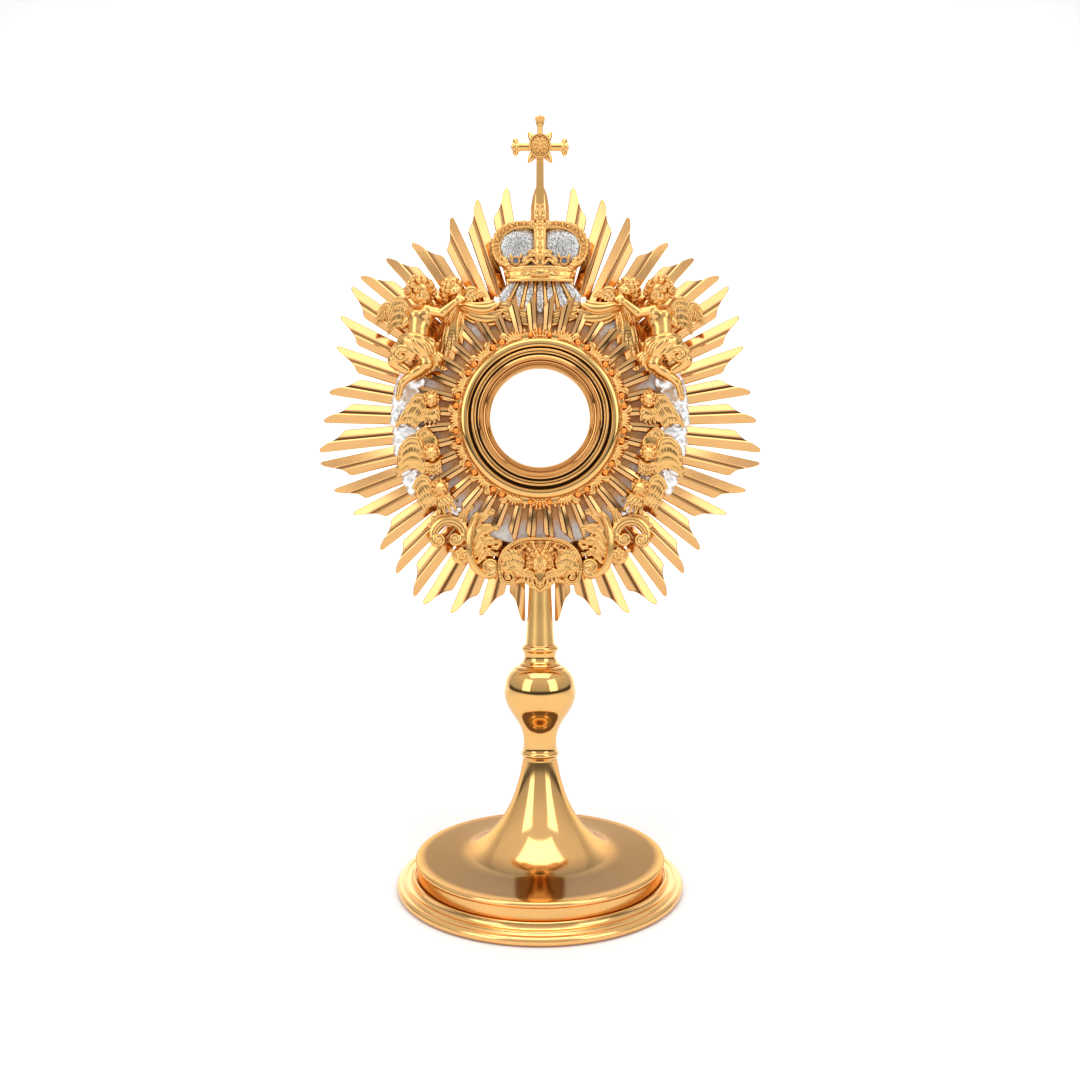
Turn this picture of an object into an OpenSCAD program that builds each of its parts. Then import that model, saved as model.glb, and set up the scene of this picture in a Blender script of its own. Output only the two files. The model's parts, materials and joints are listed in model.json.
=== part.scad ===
// Church monstrance: a sunburst head with a glazed host window, carried on a turned stem and a round foot.
// Row frame: origin under the middle of the foot, +Z up, the face of the head towards -Y. Millimetres.

/* [Foot and stem] */
// Outer radius of the foot's rim
foot_r = 112.8; // [108:0.2:118]
// Radius of the upper step of the foot
step_r = 97.5; // [92:0.5:99]
// Height at which the bell of the foot meets the lower collar
bell_top = 98; // [94:1:100]
// Largest radius of the knop
knop_r = 28.8; // [26:0.2:32]
// Thickness of spun brass walls
wall = 1.6; // [1.2:0.1:2]

/* [Head] */
// Height of the middle of the host window
head_z = 368; // [360:1:380]
// Radius of the clear host window in the bezel
window_r = 39; // [37:0.5:41]
// Angle from one ray to the next
ray_pitch = 7.75; // [7.6:0.05:7.8]
// Angle of the first ray beside the top one
first_ray = 10.2; // [9.8:0.1:10.6]
// Radius of the longest rays beside the window
ray_r = 181; // [176:0.5:184]
// How much longer the top rays are than those, and how much shorter the lowest are
ray_rise = 8; // [4:0.5:10]
// Half the drop from the longest rays of a wave to its shortest
ray_wave = 6.2; // [4:0.1:8]
// Number of pairs of short rays around the window
short_count = 40; // [32:4:44]

/* [Crown and cross] */
// Half width of the crown at its widest
crown_half_w = 39; // [36:0.5:42]
// Height of the middle of the cross
cross_z = 583.4; // [580:0.1:586]
// Half span of the cross arms
cross_half_span = 22.9; // [20:0.1:26]

/* [Rear door] */
// Distance of the hinge pin from the middle of the window
hinge_x = 61.5; // [61:0.1:64]
// Distance of the catch pivot from the middle of the window
latch_x = 60.5; // [60:0.1:63]

/* [Hidden] */
$fn = 96;
SMALL_FN = 32;
GOLD = "goldenrod";
BRASS = "darkgoldenrod";
SILVER = "silver";
GLASS = "lightcyan";
FELT = "darkgreen";

// Depths in front of the head's middle plane, in the order of the stack
carrier_back = -4;
carrier_front = -2;
ray_front = 2.2;
glory_front = 4.2;
short_back = 9;
short_front = 12;
case_back = -6;
case_front = 16;
lip_back = 13;
door_front = -6.2;
door_back = -9.2;
hinge_depth = -8.2;
button_front = -9.65;
button_back = -11.55;
crown_axis_depth = 8;
cross_thick = 5.2;
cross_foot = 11;

// Radii around the window's axis
case_in = 49;
case_out = 52;
hole_r = 52.2;
carrier_out = 112;
glory_out = 100;
short_ring_out = 70;
short_tip = 99.5;
flange_r = 62.4;
rosette_out = 72;
cover_r = 103.8;
rod_r = 3;
neck_r = 9;
neck_clear = 11.8;
stud_r = 1.25;
stud_orbit = 92;
stud_places = [2, 7, 12, 17, -2, -7, -12, -17];
bracket_screw_z = [-98, -74];
cover_screw_r = 100.5;
cover_screw_hole = 1.45;
bracket_hole = 2.1;
bore_gap = 0.2;
rays_per_side = 22;
rays_per_wave = 6;
wave_start = 0.8;
ray_root = 84;
ray_root_half = 5.4;
ray_shoulder = 112;
ray_step = 20;
ray_base_half = 5.6;
ray_flare = 0.0165;
top_ray_half = 7.8;
top_ray_round = 161;
top_ray_tip = 190.4;
cloud_r = 110.5;
cloud_puff = 9;
cloud_top = 19;
cloud_low = -28;
cherub_spots = [[-86, 12, 20], [-86, -27, 10], [-79, -56, 25]];

// Points of a cubic Bezier curve through control points p
function bezier(p, n = 12) = [for (i = [0:n]) let (t = i / n, s = 1 - t)
    s * s * s * p[0] + 3 * s * s * t * p[1] + 3 * s * t * t * p[2] + t * t * t * p[3]];

// Points of an arc about c, from angle a to angle b
function arc(c, r, a, b, n = 10) = [for (i = [0:n]) let (t = a + (b - a) * i / n) c + r * [cos(t), sin(t)]];

// The list p from its end to its start
function reversed(p) = [for (i = [len(p) - 1:-1:0]) p[i]];

// Places a head part drawn as [right, up from the window's middle, towards the viewer]
module on_head() {
    translate([0, 0, head_z]) rotate([90, 0, 0]) children();
}

// A flat ring about the window's axis, between two depths
module ring(r_in, r_out, back, front) {
    translate([0, 0, back]) difference() {
        cylinder(r = r_out, h = front - back);
        translate([0, 0, -1]) cylinder(r = r_in, h = front - back + 2);
    }
}

module ball(c, r) {
    translate(c) sphere(r = r, $fn = SMALL_FN);
}

// Keeps only what lies in front of a depth on the head
module in_front_of(depth) {
    intersection() {
        union() children();
        translate([-200, -200, depth]) cube([400, 500, 60]);
    }
}

module side_of(side) {
    if (side == "left") children();
    else mirror([1, 0, 0]) children();
}

// ---------- foot and stem ----------

module base_ring() {
    profile = concat([[94, 2.4], [94, 10.5], [99, 10.5], [107.5, 7.4]],
        arc([foot_r - 3.4, 3.4], 3.3, 110, -70, 12), [[109.5, 0], [104, 0], [104, 2.4]]);
    color(GOLD) difference() {
        rotate_extrude() polygon(profile);
        for (a = [45:90:315]) rotate(a) translate([cover_screw_r, 0, 1])
            cylinder(r = cover_screw_hole, h = 5, $fn = SMALL_FN);
    }
}

module base_foot() {
    outer = concat([[step_r - 0.7, 10.5], [step_r - 0.7, 19.4]], arc([step_r - 2, 21.8], 2.3, -40, 80, 8),
        bezier([[94, 24.3], [44, 27], [17.5, 53], [13.6, bell_top]], 24));
    inner = concat([[step_r - 2.5, 10.5], [step_r - 2.5, 22.4], [93, 22.6]],
        bezier([[92.5, 22.6], [43.5, 25.2], [15.8, 51], [11.8, bell_top - 3]], 24));
    bore = rod_r + bore_gap;
    color(GOLD) rotate_extrude()
        polygon(concat(outer, [[bore, bell_top], [bore, bell_top - 3]], reversed(inner)));
}

module base_cover() {
    color(FELT) difference() {
        translate([0, 0, 1]) cylinder(r = cover_r, h = 1.4);
        for (a = [45:90:315]) rotate(a) translate([cover_screw_r, 0, 0])
            cylinder(r = cover_screw_hole + 0.05, h = 4, $fn = SMALL_FN);
    }
}

module cover_screws() {
    color(BRASS) for (a = [45:90:315]) rotate(a) translate([cover_screw_r, 0, 0.2]) {
        cylinder(r = 2.5, h = 0.8, $fn = SMALL_FN);
        cylinder(r = 1.4, h = 5, $fn = SMALL_FN);
    }
}

module lower_collar() {
    outer = concat([[13.9, bell_top]], arc([12, 102.8], 2.9, -55, 60, 10), [[13.2, 106.4], [13.2, 109.6]]);
    bore = rod_r + bore_gap;
    color(GOLD) rotate_extrude() polygon(concat(outer, [[bore, 109.6], [bore, bell_top]]));
}

module knop() {
    outer = concat([[13.2, 109.6]], bezier([[13.2, 112], [13.2, 130], [26, 134], [knop_r, 151]], 16),
        bezier([[knop_r, 151], [knop_r, 164], [23, 171.5], [16.5, 173]], 12));
    inner = concat([[11.6, 112]], bezier([[11.6, 113], [11.6, 131], [24.4, 135], [knop_r - wall, 151]], 12),
        bezier([[knop_r - wall, 151], [knop_r - wall, 163], [22, 169.8], [14, 170.6]], 10));
    color(GOLD) rotate_extrude() polygon(concat([[rod_r + bore_gap, 109.6]], outer, [[rod_r + bore_gap, 173],
        [rod_r + bore_gap, 170.6]], reversed(inner), [[rod_r + bore_gap, 112]]));
}

module upper_collar() {
    outer = concat([[16.5, 173], [16.5, 174.6]],
        bezier([[15.6, 175], [13, 175.6], [12.4, 178], [12.4, 181]], 6),
        [[12.4, 183.6]], arc([12.3, 186.6], 2.4, -60, 60, 10), [[12.4, 189.5]]);
    color(GOLD) rotate_extrude() polygon(concat(outer, [[rod_r + bore_gap, 189.5], [rod_r + bore_gap, 173]]));
}

module neck_tube() {
    bore = rod_r + bore_gap;
    color(GOLD) rotate_extrude() polygon([[12, 189.5], [neck_r + 0.2, 235], [neck_r, 246], [7.7, 246],
        [7.7, 225], [bore, 225], [bore, 222], [7.6, 222], [10, 192.5], [bore, 192.5], [bore, 189.5]]);
}

module tie_rod() {
    color(BRASS) translate([0, 0, 82]) cylinder(r = rod_r, h = 150, $fn = SMALL_FN);
}

module tie_nut() {
    color(BRASS) translate([0, 0, 88]) difference() {
        cylinder(r = 5.8, h = 5, $fn = 6);
        translate([0, 0, -1]) cylinder(r = rod_r + 0.05, h = 7, $fn = SMALL_FN);
    }
}

module tie_washer() {
    color(BRASS) translate([0, 0, 93]) difference() {
        cylinder(r = 9, h = 2, $fn = 48);
        translate([0, 0, -1]) cylinder(r = rod_r + bore_gap, h = 4, $fn = SMALL_FN);
    }
}

module head_bracket() {
    color(BRASS) difference() {
        union() {
            translate([0, 0, 225]) cylinder(r = 7.6, h = 21, $fn = 48);
            on_head() translate([-9, 246 - head_z, carrier_back - 3]) cube([18, 60, 3]);
            on_head() translate([-6, 246 - head_z, carrier_back - 3]) cube([12, 4.5, 8]);
        }
        translate([0, 0, 224]) cylinder(r = rod_r + 0.05, h = 9, $fn = SMALL_FN);
        on_head() for (v = bracket_screw_z) translate([0, v, carrier_back - 5])
            cylinder(r = bracket_hole, h = 8, $fn = SMALL_FN);
    }
}

module bracket_screws() {
    color(BRASS) on_head() for (v = bracket_screw_z) translate([0, v, carrier_back - 3]) {
        translate([0, 0, -2.4]) cylinder(r = 4, h = 2.4, $fn = SMALL_FN);
        cylinder(r = 2, h = 5, $fn = SMALL_FN);
    }
}

// ---------- sunburst ----------

function ray_angle(k) = k == 0 ? 0 : sign(k) * (first_ray + (abs(k) - 1) * ray_pitch);

// The tips rise and fall in waves of six rays, and each ray's step faces the shortest of its wave
function ray_place(k) = (abs(k) - 1) % rays_per_wave;
function ray_tip(k) = ray_r + ray_rise * cos(ray_angle(k))
    - ray_wave * (1 - cos((abs(k) - wave_start) * 360 / rays_per_wave));
function ray_half(r) = ray_base_half + ray_flare * r;

// Outline of one ray, pointing up: a slanted point on its long side, a step down on the other
module ray_outline(tip, long_side) {
    low = tip - ray_step;
    mirror([long_side > 0 ? 0 : 1, 0]) polygon([[-ray_root_half, ray_root], [ray_root_half, ray_root],
        [ray_half(ray_shoulder), ray_shoulder], [ray_half(tip), tip], [-ray_half(low) * 0.2, low + 7],
        [-ray_half(low), low], [-ray_half(ray_shoulder), ray_shoulder]]);
}

// Outline of the single round-ended ray behind the crown
module top_ray_outline() {
    polygon(concat([[-ray_root_half, ray_root], [ray_root_half, ray_root]], [for (a = [0:12:180])
        [top_ray_half * cos(a), top_ray_round + (top_ray_tip - top_ray_round) * sin(a)]]));
}

// Two ridges run the length of each ray, with a valley between them
module ray_roof() {
    rotate([-90, 0, 0]) linear_extrude(220) polygon([[-10, -carrier_front], [10, -carrier_front], [10, 0.6],
        [4, -ray_front], [0, 0.2], [-4, -ray_front], [-10, 0.6]]);
}

module ray(k) {
    long_side = ray_place(k) < 3 ? sign(k) : -sign(k);
    rotate(ray_angle(k)) intersection() {
        translate([0, 0, carrier_front]) linear_extrude(ray_front - carrier_front) {
            if (k == 0) top_ray_outline();
            else ray_outline(ray_tip(k), long_side);
        }
        ray_roof();
    }
}

module sunburst_rays() {
    color(GOLD) on_head() difference() {
        for (k = [-rays_per_side:rays_per_side]) ray(k);
        translate([-neck_clear, -ray_r, -neck_clear]) cube([2 * neck_clear, ray_r - 70, 2 * neck_clear]);
        stud_holes(stud_r + 0.1);
    }
}

module stud_holes(r) {
    for (k = stud_places) rotate(ray_angle(k)) translate([0, stud_orbit, -20])
        cylinder(r = r, h = 40, $fn = SMALL_FN);
}

module ray_carrier() {
    color(BRASS) on_head() difference() {
        ring(hole_r, carrier_out, carrier_back, carrier_front);
        stud_holes(stud_r + 0.1);
        for (v = bracket_screw_z) translate([0, v, -5]) cylinder(r = bracket_hole, h = 8, $fn = SMALL_FN);
    }
}

// Silver backing of the short rays, with a fan that rises under the crown
module glory_plate() {
    color(SILVER) on_head() difference() {
        union() {
            translate([0, 0, ray_front]) cylinder(r = glory_out, h = glory_front - ray_front);
            translate([0, 0, ray_front]) linear_extrude(glory_front - ray_front)
                polygon([[-34, 90], [34, 90], [24, 112], [20, 150], [-20, 150], [-24, 112]]);
        }
        translate([0, 0, ray_front - 1]) cylinder(r = hole_r, h = 5);
        stud_holes(stud_r + 0.1);
    }
}

module stack_studs() {
    color(BRASS) on_head() for (k = stud_places) rotate(ray_angle(k))
        translate([0, stud_orbit, carrier_back - 3]) cylinder(r = stud_r, h = glory_front - carrier_back + 3,
            $fn = SMALL_FN);
}

module stack_nuts() {
    color(BRASS) on_head() for (k = stud_places) rotate(ray_angle(k))
        translate([0, stud_orbit, carrier_back - 2.2]) difference() {
            cylinder(r = 3, h = 2.2, $fn = 6);
            translate([0, 0, -1]) cylinder(r = stud_r + 0.05, h = 5, $fn = SMALL_FN);
        }
}

// ---------- host window ----------

module luna_case() {
    color(BRASS) on_head() {
        difference() {
            translate([0, 0, case_back]) cylinder(r = case_out, h = case_front - case_back);
            translate([0, 0, case_back - 1]) cylinder(r = case_in, h = lip_back - case_back + 1);
            translate([0, 0, lip_back - 1]) cylinder(r = 42.5, h = 8);
        }
    }
}

module case_lock_ring() {
    color(BRASS) on_head() difference() {
        ring(hole_r, 56.8, case_back + 0.2, carrier_back);
        for (a = [45:90:315]) rotate(a) translate([56.8, 0, -10]) cylinder(r = 1.6, h = 12, $fn = SMALL_FN);
    }
}

module spacer_ring() {
    color(BRASS) on_head() ring(hole_r, 58, glory_front, short_back);
}

// Stepped front moulding of the window
module luna_bezel() {
    profile = concat([[case_out + 0.2, short_front], [flange_r, short_front], [flange_r, 14.6], [61.6, 15.4],
        [57, 15.4], [56, 14.4], [55.4, 14.4]], arc([53.2, 16.3], 2.4, -20, 180, 8), [[50.6, 16.6]],
        bezier([[49.8, 18.6], [48, 21.5], [45, 22.5], [43, 22.6]], 6), arc([41.4, 23], 1.6, 0, 150, 6),
        [[39.6, 23.2], [window_r, 22], [window_r, case_front], [case_out + 0.2, case_front]]);
    color(GOLD) on_head() rotate_extrude() polygon(profile);
}

module front_glass() {
    color(GLASS) on_head() translate([0, 0, lip_back - 2]) cylinder(r = case_in - 0.3, h = 2);
}

module glass_retainer() {
    color(BRASS) on_head() ring(45.5, case_in - 0.1, lip_back - 3.6, lip_back - 2);
}

// Grooved rail in the bottom of the case that the host's holder slides into
module lunette_rail() {
    color(BRASS) on_head() intersection() {
        difference() {
            translate([-9, -48.6, -3]) cube([18, 5, 9]);
            translate([-1.2, -46.4, -4]) cube([2.4, 5, 11]);
        }
        translate([0, 0, -5]) cylinder(r = case_in - 0.05, h = 20);
    }
}

// ---------- short rays and rosettes around the window ----------

// Outline of one long and one short ray side by side; the long one is always on the side nearer the crown
module short_pair(i) {
    rotate((i + 0.5) * 360 / short_count) mirror([i < short_count / 2 ? 0 : 1, 0]) {
        polygon([[-3.7, 66], [-0.3, 66], [-0.3, short_tip - 3.5], [-3.2, short_tip], [-4.2, short_tip - 4]]);
        polygon([[0.3, 66], [3.7, 66], [4.2, short_tip - 11], [0.3, short_tip - 6]]);
    }
}

module short_rays() {
    thick = short_front - short_back;
    color(GOLD) on_head() translate([0, 0, short_back]) linear_extrude(thick) difference() {
        union() {
            circle(r = short_ring_out);
            for (i = [0:short_count - 1]) short_pair(i);
        }
        circle(r = hole_r);
    }
}

module rosette_ring() {
    color(GOLD) on_head() rotate_extrude() polygon(concat(
        [[flange_r + 0.2, short_front], [rosette_out, short_front]],
        arc([67.3, short_front], 4.4, 10, 170, 10)));
}

// ---------- rear door ----------

module rear_door() {
    color(GOLD) on_head() difference() {
        union() {
            translate([0, 0, door_back]) cylinder(r = 53, h = door_front - door_back);
            translate([50, -4, door_back]) cube([hinge_x - 50, 8, 2.6]);
            translate([hinge_x, 4, hinge_depth]) rotate([90, 0, 0]) cylinder(r = 3, h = 8, $fn = 48);
        }
        translate([0, 0, door_back - 1]) cylinder(r = 46, h = 6);
        translate([0, 0, door_back + 1.8]) cylinder(r = 48.7, h = 6);
        translate([hinge_x, 6, hinge_depth]) rotate([90, 0, 0]) cylinder(r = 1.25, h = 12, $fn = 48);
    }
}

module rear_glass() {
    color(GLASS) on_head() translate([0, 0, door_back + 1.8]) cylinder(r = 48.5, h = 1.1);
}

module door_knob() {
    color(GOLD) on_head() rotate(205) translate([49.5, 0, door_back]) rotate([180, 0, 0])
        rotate_extrude() polygon(concat([[0, 0], [2.6, 0], [1.5, 1.2], [1.5, 2.4]],
            arc([0, 5.2], 3.2, -60, 90, 8)));
}

module hinge_bracket() {
    color(BRASS) on_head() difference() {
        union() {
            translate([hinge_x - 2.5, -13, carrier_back - 1]) cube([12, 26, 1]);
            for (v = [4.2, -12.2]) {
                translate([hinge_x - 1.5, v, hinge_depth]) cube([3, 8, carrier_back - hinge_depth]);
                translate([hinge_x, v + 8, hinge_depth]) rotate([90, 0, 0]) cylinder(r = 3, h = 8, $fn = 48);
            }
        }
        translate([hinge_x, 14, hinge_depth]) rotate([90, 0, 0]) cylinder(r = 1.25, h = 28, $fn = 48);
    }
}

module hinge_pin() {
    color(BRASS) on_head() translate([hinge_x, 13.4, hinge_depth]) rotate([90, 0, 0]) {
        cylinder(r = 1.2, h = 26.8, $fn = 48);
        translate([0, 0, -1]) cylinder(r = 2, h = 1, $fn = 48);
    }
}

module latch_post() {
    color(BRASS) on_head() translate([-latch_x, 0, 0]) difference() {
        union() {
            translate([0, 0, button_front + 0.05])
                cylinder(r = 3.4, h = carrier_back - button_front - 0.05, $fn = 48);
            translate([0, 0, button_back - 1.2]) cylinder(r = 2, h = 6, $fn = 48);
            translate([0, 0, button_back - 1.4]) cylinder(r = 3.4, h = 1.3, $fn = 48);
        }
        translate([-4, -0.4, button_back - 2]) cube([8, 0.8, 1.2]);
    }
}

// Turn button that swings across the rim of the door to hold it shut
module turn_button() {
    thick = button_front - button_back;
    color(BRASS) on_head() translate([-latch_x, 0, button_back]) difference() {
        union() {
            cylinder(r = 3.6, h = thick, $fn = 48);
            translate([-2.6, 0, 0]) cube([5.2, 11, thick]);
            translate([0, 11, 0]) cylinder(r = 2.6, h = thick, $fn = 48);
        }
        translate([0, 0, -1]) cylinder(r = 2.05, h = thick + 2, $fn = 48);
    }
}

// ---------- crown and cross ----------

module crown_outline() {
    w = crown_half_w;
    half = concat([[25, 121], [30, 127]], bezier([[w - 4, 131], [w + 3, 139], [w + 2, 149], [30, 153]], 8),
        [[20, 155], [6, 153]]);
    polygon(concat(half, reversed([for (p = half) [-p[0], p[1]]])));
}

module cap_window(grow) {
    for (s = [-1, 1]) translate([s * 18, 138.5]) {
        translate([-5, 0]) circle(r = 8.5 + grow, $fn = 48);
        translate([5, 0]) circle(r = 8.5 + grow, $fn = 48);
    }
}

module crown_frame() {
    color(GOLD) on_head() {
        translate([0, 0, glory_front]) linear_extrude(10) difference() {
            crown_outline();
            cap_window(0.1);
        }
        translate([-4, 122, glory_front + 10]) cube([8, 32, 3]);
    }
}

module crown_caps() {
    color(SILVER) on_head() translate([0, 0, glory_front]) linear_extrude(9) cap_window(0);
}

module crown_band() {
    color(GOLD) on_head() intersection() {
        translate([0, 109, -48]) rotate([-90, 0, 0]) cylinder(r = 64, h = 12);
        translate([-26, 109, glory_front]) cube([52, 12, 20]);
    }
}

module crown_gems() {
    color("lightsteelblue") on_head() for (s = [-1, 1]) translate([s * 19.5, 124, glory_front + 10])
        cylinder(r1 = 2.6, r2 = 1.6, h = 2.2, $fn = SMALL_FN);
}

module crown_finial() {
    z0 = head_z + 154;
    profile = concat([[0, 0], [5.4, 0], [5.8, 1.5], [3.6, 3]], arc([0, 7.5], 4.6, -60, 60, 8),
        [[3.4, 12], [3.1, 14], [0, 14]]);
    color(GOLD) translate([0, -crown_axis_depth, z0]) rotate_extrude() polygon(profile);
}

module cross_shaft() {
    z0 = head_z + 168;
    color(GOLD) translate([0, -crown_axis_depth, z0])
        cylinder(r1 = 3.1, r2 = 2.8, h = cross_z - cross_foot - z0, $fn = 48);
}

// Cross with three round lobes at the end of each arm
module cross() {
    arm = 2.9;
    lobe = 2.5;
    reach = cross_half_span - 3;
    color(GOLD) translate([0, cross_thick / 2 - crown_axis_depth, cross_z]) rotate([90, 0, 0])
    linear_extrude(cross_thick) union() {
        translate([-arm, -cross_foot]) square([2 * arm, 30]);
        for (p = [[-2.6, 19.5], [2.6, 19.5], [0, 24.4]]) translate(p) circle(r = lobe, $fn = 48);
        for (s = [-1, 1]) {
            mirror([s > 0 ? 0 : 1, 0]) polygon([[0, -4.1], [0, 4.1], [reach, arm], [reach, -arm]]);
            for (v = [-3.6, 3.6]) translate([s * (cross_half_span - 3.4), v]) circle(r = lobe, $fn = 48);
            translate([s * (cross_half_span - 2.1), 0]) circle(r = 2.1, $fn = 48);
        }
    }
}

module cross_medallion() {
    color(GOLD) translate([0, -crown_axis_depth - cross_thick / 2, cross_z]) rotate([90, 0, 0]) {
        linear_extrude(1.4) union() {
            for (s = [-1, 1]) polygon([[0, 0], [s * 4, 10], [s * 9.4, 12], [s * 7.4, 6.5]]);
            for (s = [-1, 1]) polygon([[0, 0], [s * 4, -10], [s * 9.4, -12], [s * 7.4, -6.5]]);
            for (v = [-2.2, 0, 2.2]) translate([0, v]) circle(r = 8.4, $fn = 48);
        }
        translate([0, 0, 1.4]) cylinder(r1 = 7.6, r2 = 6.4, h = 1.2, $fn = 48);
    }
}

// ---------- figures and foliage ----------

// Outline of a limb from a to b, round at both ends
module limb(a, b, r1, r2) {
    along = (b - a) / norm(b - a);
    across = [-along[1], along[0]];
    polygon([a + r1 * across, b + r2 * across, b - r2 * across, a - r1 * across]);
    translate(a) circle(r = r1, $fn = SMALL_FN);
    translate(b) circle(r = r2, $fn = SMALL_FN);
}

// A child angel that kneels on the clouds and reaches to the crown, with two bosses that screw to the rays
module angel(side) {
    color(GOLD) on_head() side_of(side) {
        translate([0, 0, short_front + 4]) linear_extrude(8) {
            limb([-90, 88], [-97, 58], 7.5, 9.5);
            limb([-101, 53], [-98, 35], 6.2, 4.6);
            limb([-98, 35], [-110, 17], 4.5, 3.1);
            limb([-95, 53], [-87, 43], 5.7, 4.7);
            limb([-87, 43], [-97, 27], 4.3, 3);
        }
        translate([0, 0, short_front + 6]) linear_extrude(8) {
            translate([-93, 97.5]) circle(r = 11.5);
            limb([-92, 83], [-75, 82.5], 4.2, 3.3);
            limb([-75, 82.5], [-63, 92], 3.2, 2.7);
        }
        for (p = [[-94, 75], [-99, 54]]) translate([p[0], p[1], ray_front])
            cylinder(r = 5, h = short_front + 4 - ray_front);
    }
}

module angel_wings(side) {
    color(GOLD) on_head() side_of(side) {
        translate([0, 0, short_front - 5]) linear_extrude(5)
            polygon(concat([[-101, 92]], arc([-112, 86], 9, 50, 190, 8),
                [[-119, 66], [-106, 66], [-101, 72]]));
        translate([0, 0, short_front - 5]) linear_extrude(4)
            polygon([[-119, 90], [-127.5, 84], [-124, 73], [-119, 76]]);
    }
}

// The smaller angel head beside the first, with a winglet
module angel_companion(side) {
    color(GOLD) on_head() side_of(side) {
        in_front_of(ray_front) ball([-66.5, 102.5, 11], 9.2);
        translate([0, 0, ray_front]) linear_extrude(6) limb([-59, 101.5], [-49, 101], 3.4, 2);
    }
}

module clouds(side) {
    color(SILVER) on_head() side_of(side) for (a = [cloud_low:(cloud_top - cloud_low) / 7:cloud_top])
        translate([-cloud_r * cos(a), cloud_r * sin(a), glory_front])
            cylinder(r = cloud_puff, h = short_front - glory_front, $fn = 48);
}

module drapery(side) {
    thick = 4.6;
    color(GOLD) on_head() side_of(side) {
        translate([-34, 132, glory_front]) rotate_extrude(angle = 53, start = 240)
            translate([42, 0]) square([9, thick]);
        translate([-78, 34, glory_front]) cube([15, 52, thick]);
    }
}

// A winged child's head that looks inwards
module cherub(spot) {
    plate = 3.4;
    translate([spot[0], spot[1], short_front]) rotate(spot[2]) {
        linear_extrude(plate) {
            translate([-14, -3]) circle(r = 9.5, $fn = 48);
            translate([0, -1]) circle(r = 8.2, $fn = 48);
            translate([9.5, 0]) circle(r = 5.6, $fn = 48);
        }
        translate([0, -1, plate]) cylinder(r = 5.4, h = 7.6, $fn = 48);
    }
}

module cherubs(side) {
    color(GOLD) on_head() side_of(side) for (spot = cherub_spots) cherub(spot);
}

// Leaf scroll that runs from the short rays down to the cartouche
module acanthus(side) {
    thick = short_back - glory_front - 0.2;
    color(GOLD) on_head() side_of(side) translate([0, 0, glory_front]) {
        translate([-26, -92, 0]) rotate_extrude(angle = 118, start = 130)
            translate([28, 0]) square([9, thick]);
        translate([-37.5, -117, 0]) cylinder(r = 9, h = thick, $fn = 48);
        translate([-56, -74, 0]) cylinder(r = 8, h = thick, $fn = 48);
        translate([-78, -84, 0]) rotate_extrude(angle = 230, start = 330)
            translate([5, 0]) square([8, thick]);
        translate([-62, -106, 0]) cylinder(r = 5, h = thick, $fn = 48);
        translate([-34, -84, 0]) cylinder(r = 9, h = thick, $fn = 48);
    }
}

module cartouche() {
    back = neck_r + 0.4;
    color(GOLD) on_head() {
        translate([0, 0, back]) linear_extrude(short_front + 3 - back) {
            for (s = [-1, 1]) translate([s * 19, -115]) circle(r = 14, $fn = 48);
            translate([0, -113]) circle(r = 13.2, $fn = 48);
            translate([0, -126]) circle(r = 9, $fn = 48);
        }
        for (s = [-1, 1]) translate([s * 29, -116, short_back - 0.2]) cylinder(r = 4, h = 1);
    }
}

module cartouche_cherub() {
    color(GOLD) on_head() in_front_of(short_front + 3) {
        ball([0, -113, short_front + 5], 9.5);
        for (s = [-1, 1]) translate([s * 20, -117, short_front + 3]) cylinder(r = 9, h = 3, $fn = 48);
    }
}

base_ring();
base_foot();
base_cover();
cover_screws();
lower_collar();
knop();
upper_collar();
neck_tube();
tie_rod();
tie_nut();
tie_washer();
head_bracket();
bracket_screws();
ray_carrier();
sunburst_rays();
glory_plate();
stack_studs();
stack_nuts();
luna_case();
case_lock_ring();
spacer_ring();
luna_bezel();
front_glass();
glass_retainer();
lunette_rail();
short_rays();
rosette_ring();
rear_door();
rear_glass();
door_knob();
hinge_bracket();
hinge_pin();
latch_post();
turn_button();
crown_frame();
crown_caps();
crown_band();
crown_gems();
crown_finial();
cross_shaft();
cross();
cross_medallion();
cartouche();
cartouche_cherub();
for (side = ["left", "right"]) {
    angel(side);
    angel_wings(side);
    angel_companion(side);
    clouds(side);
    drapery(side);
    cherubs(side);
    acanthus(side);
}
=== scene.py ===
"""The monstrance's looks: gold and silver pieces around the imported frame.

Head pieces are drawn in millimetres as (right, up from the window's middle, towards the viewer).
"""

import json
import math
import random

import bmesh
import bpy
import numpy as np
from mathutils import Matrix, Vector


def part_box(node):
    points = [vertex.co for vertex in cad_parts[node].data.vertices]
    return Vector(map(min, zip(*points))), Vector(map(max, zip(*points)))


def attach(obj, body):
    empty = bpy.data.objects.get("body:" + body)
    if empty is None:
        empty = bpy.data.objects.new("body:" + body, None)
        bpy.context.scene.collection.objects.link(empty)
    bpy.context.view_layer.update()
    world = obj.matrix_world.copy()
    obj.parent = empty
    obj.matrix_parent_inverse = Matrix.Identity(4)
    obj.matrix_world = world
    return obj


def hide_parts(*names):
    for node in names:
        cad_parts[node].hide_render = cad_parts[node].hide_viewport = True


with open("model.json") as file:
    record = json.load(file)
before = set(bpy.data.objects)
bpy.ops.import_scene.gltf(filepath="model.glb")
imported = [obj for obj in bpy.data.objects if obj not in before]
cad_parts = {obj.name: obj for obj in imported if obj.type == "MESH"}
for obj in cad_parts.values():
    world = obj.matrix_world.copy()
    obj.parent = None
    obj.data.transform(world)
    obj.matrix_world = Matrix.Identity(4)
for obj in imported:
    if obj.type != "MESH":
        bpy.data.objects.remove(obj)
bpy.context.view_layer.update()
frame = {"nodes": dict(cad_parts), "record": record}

MM = 0.001
LATHE_STEPS = 160
ROOT = "monstrance"
SIDES = (-1, 1)
random.seed(7)


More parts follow.
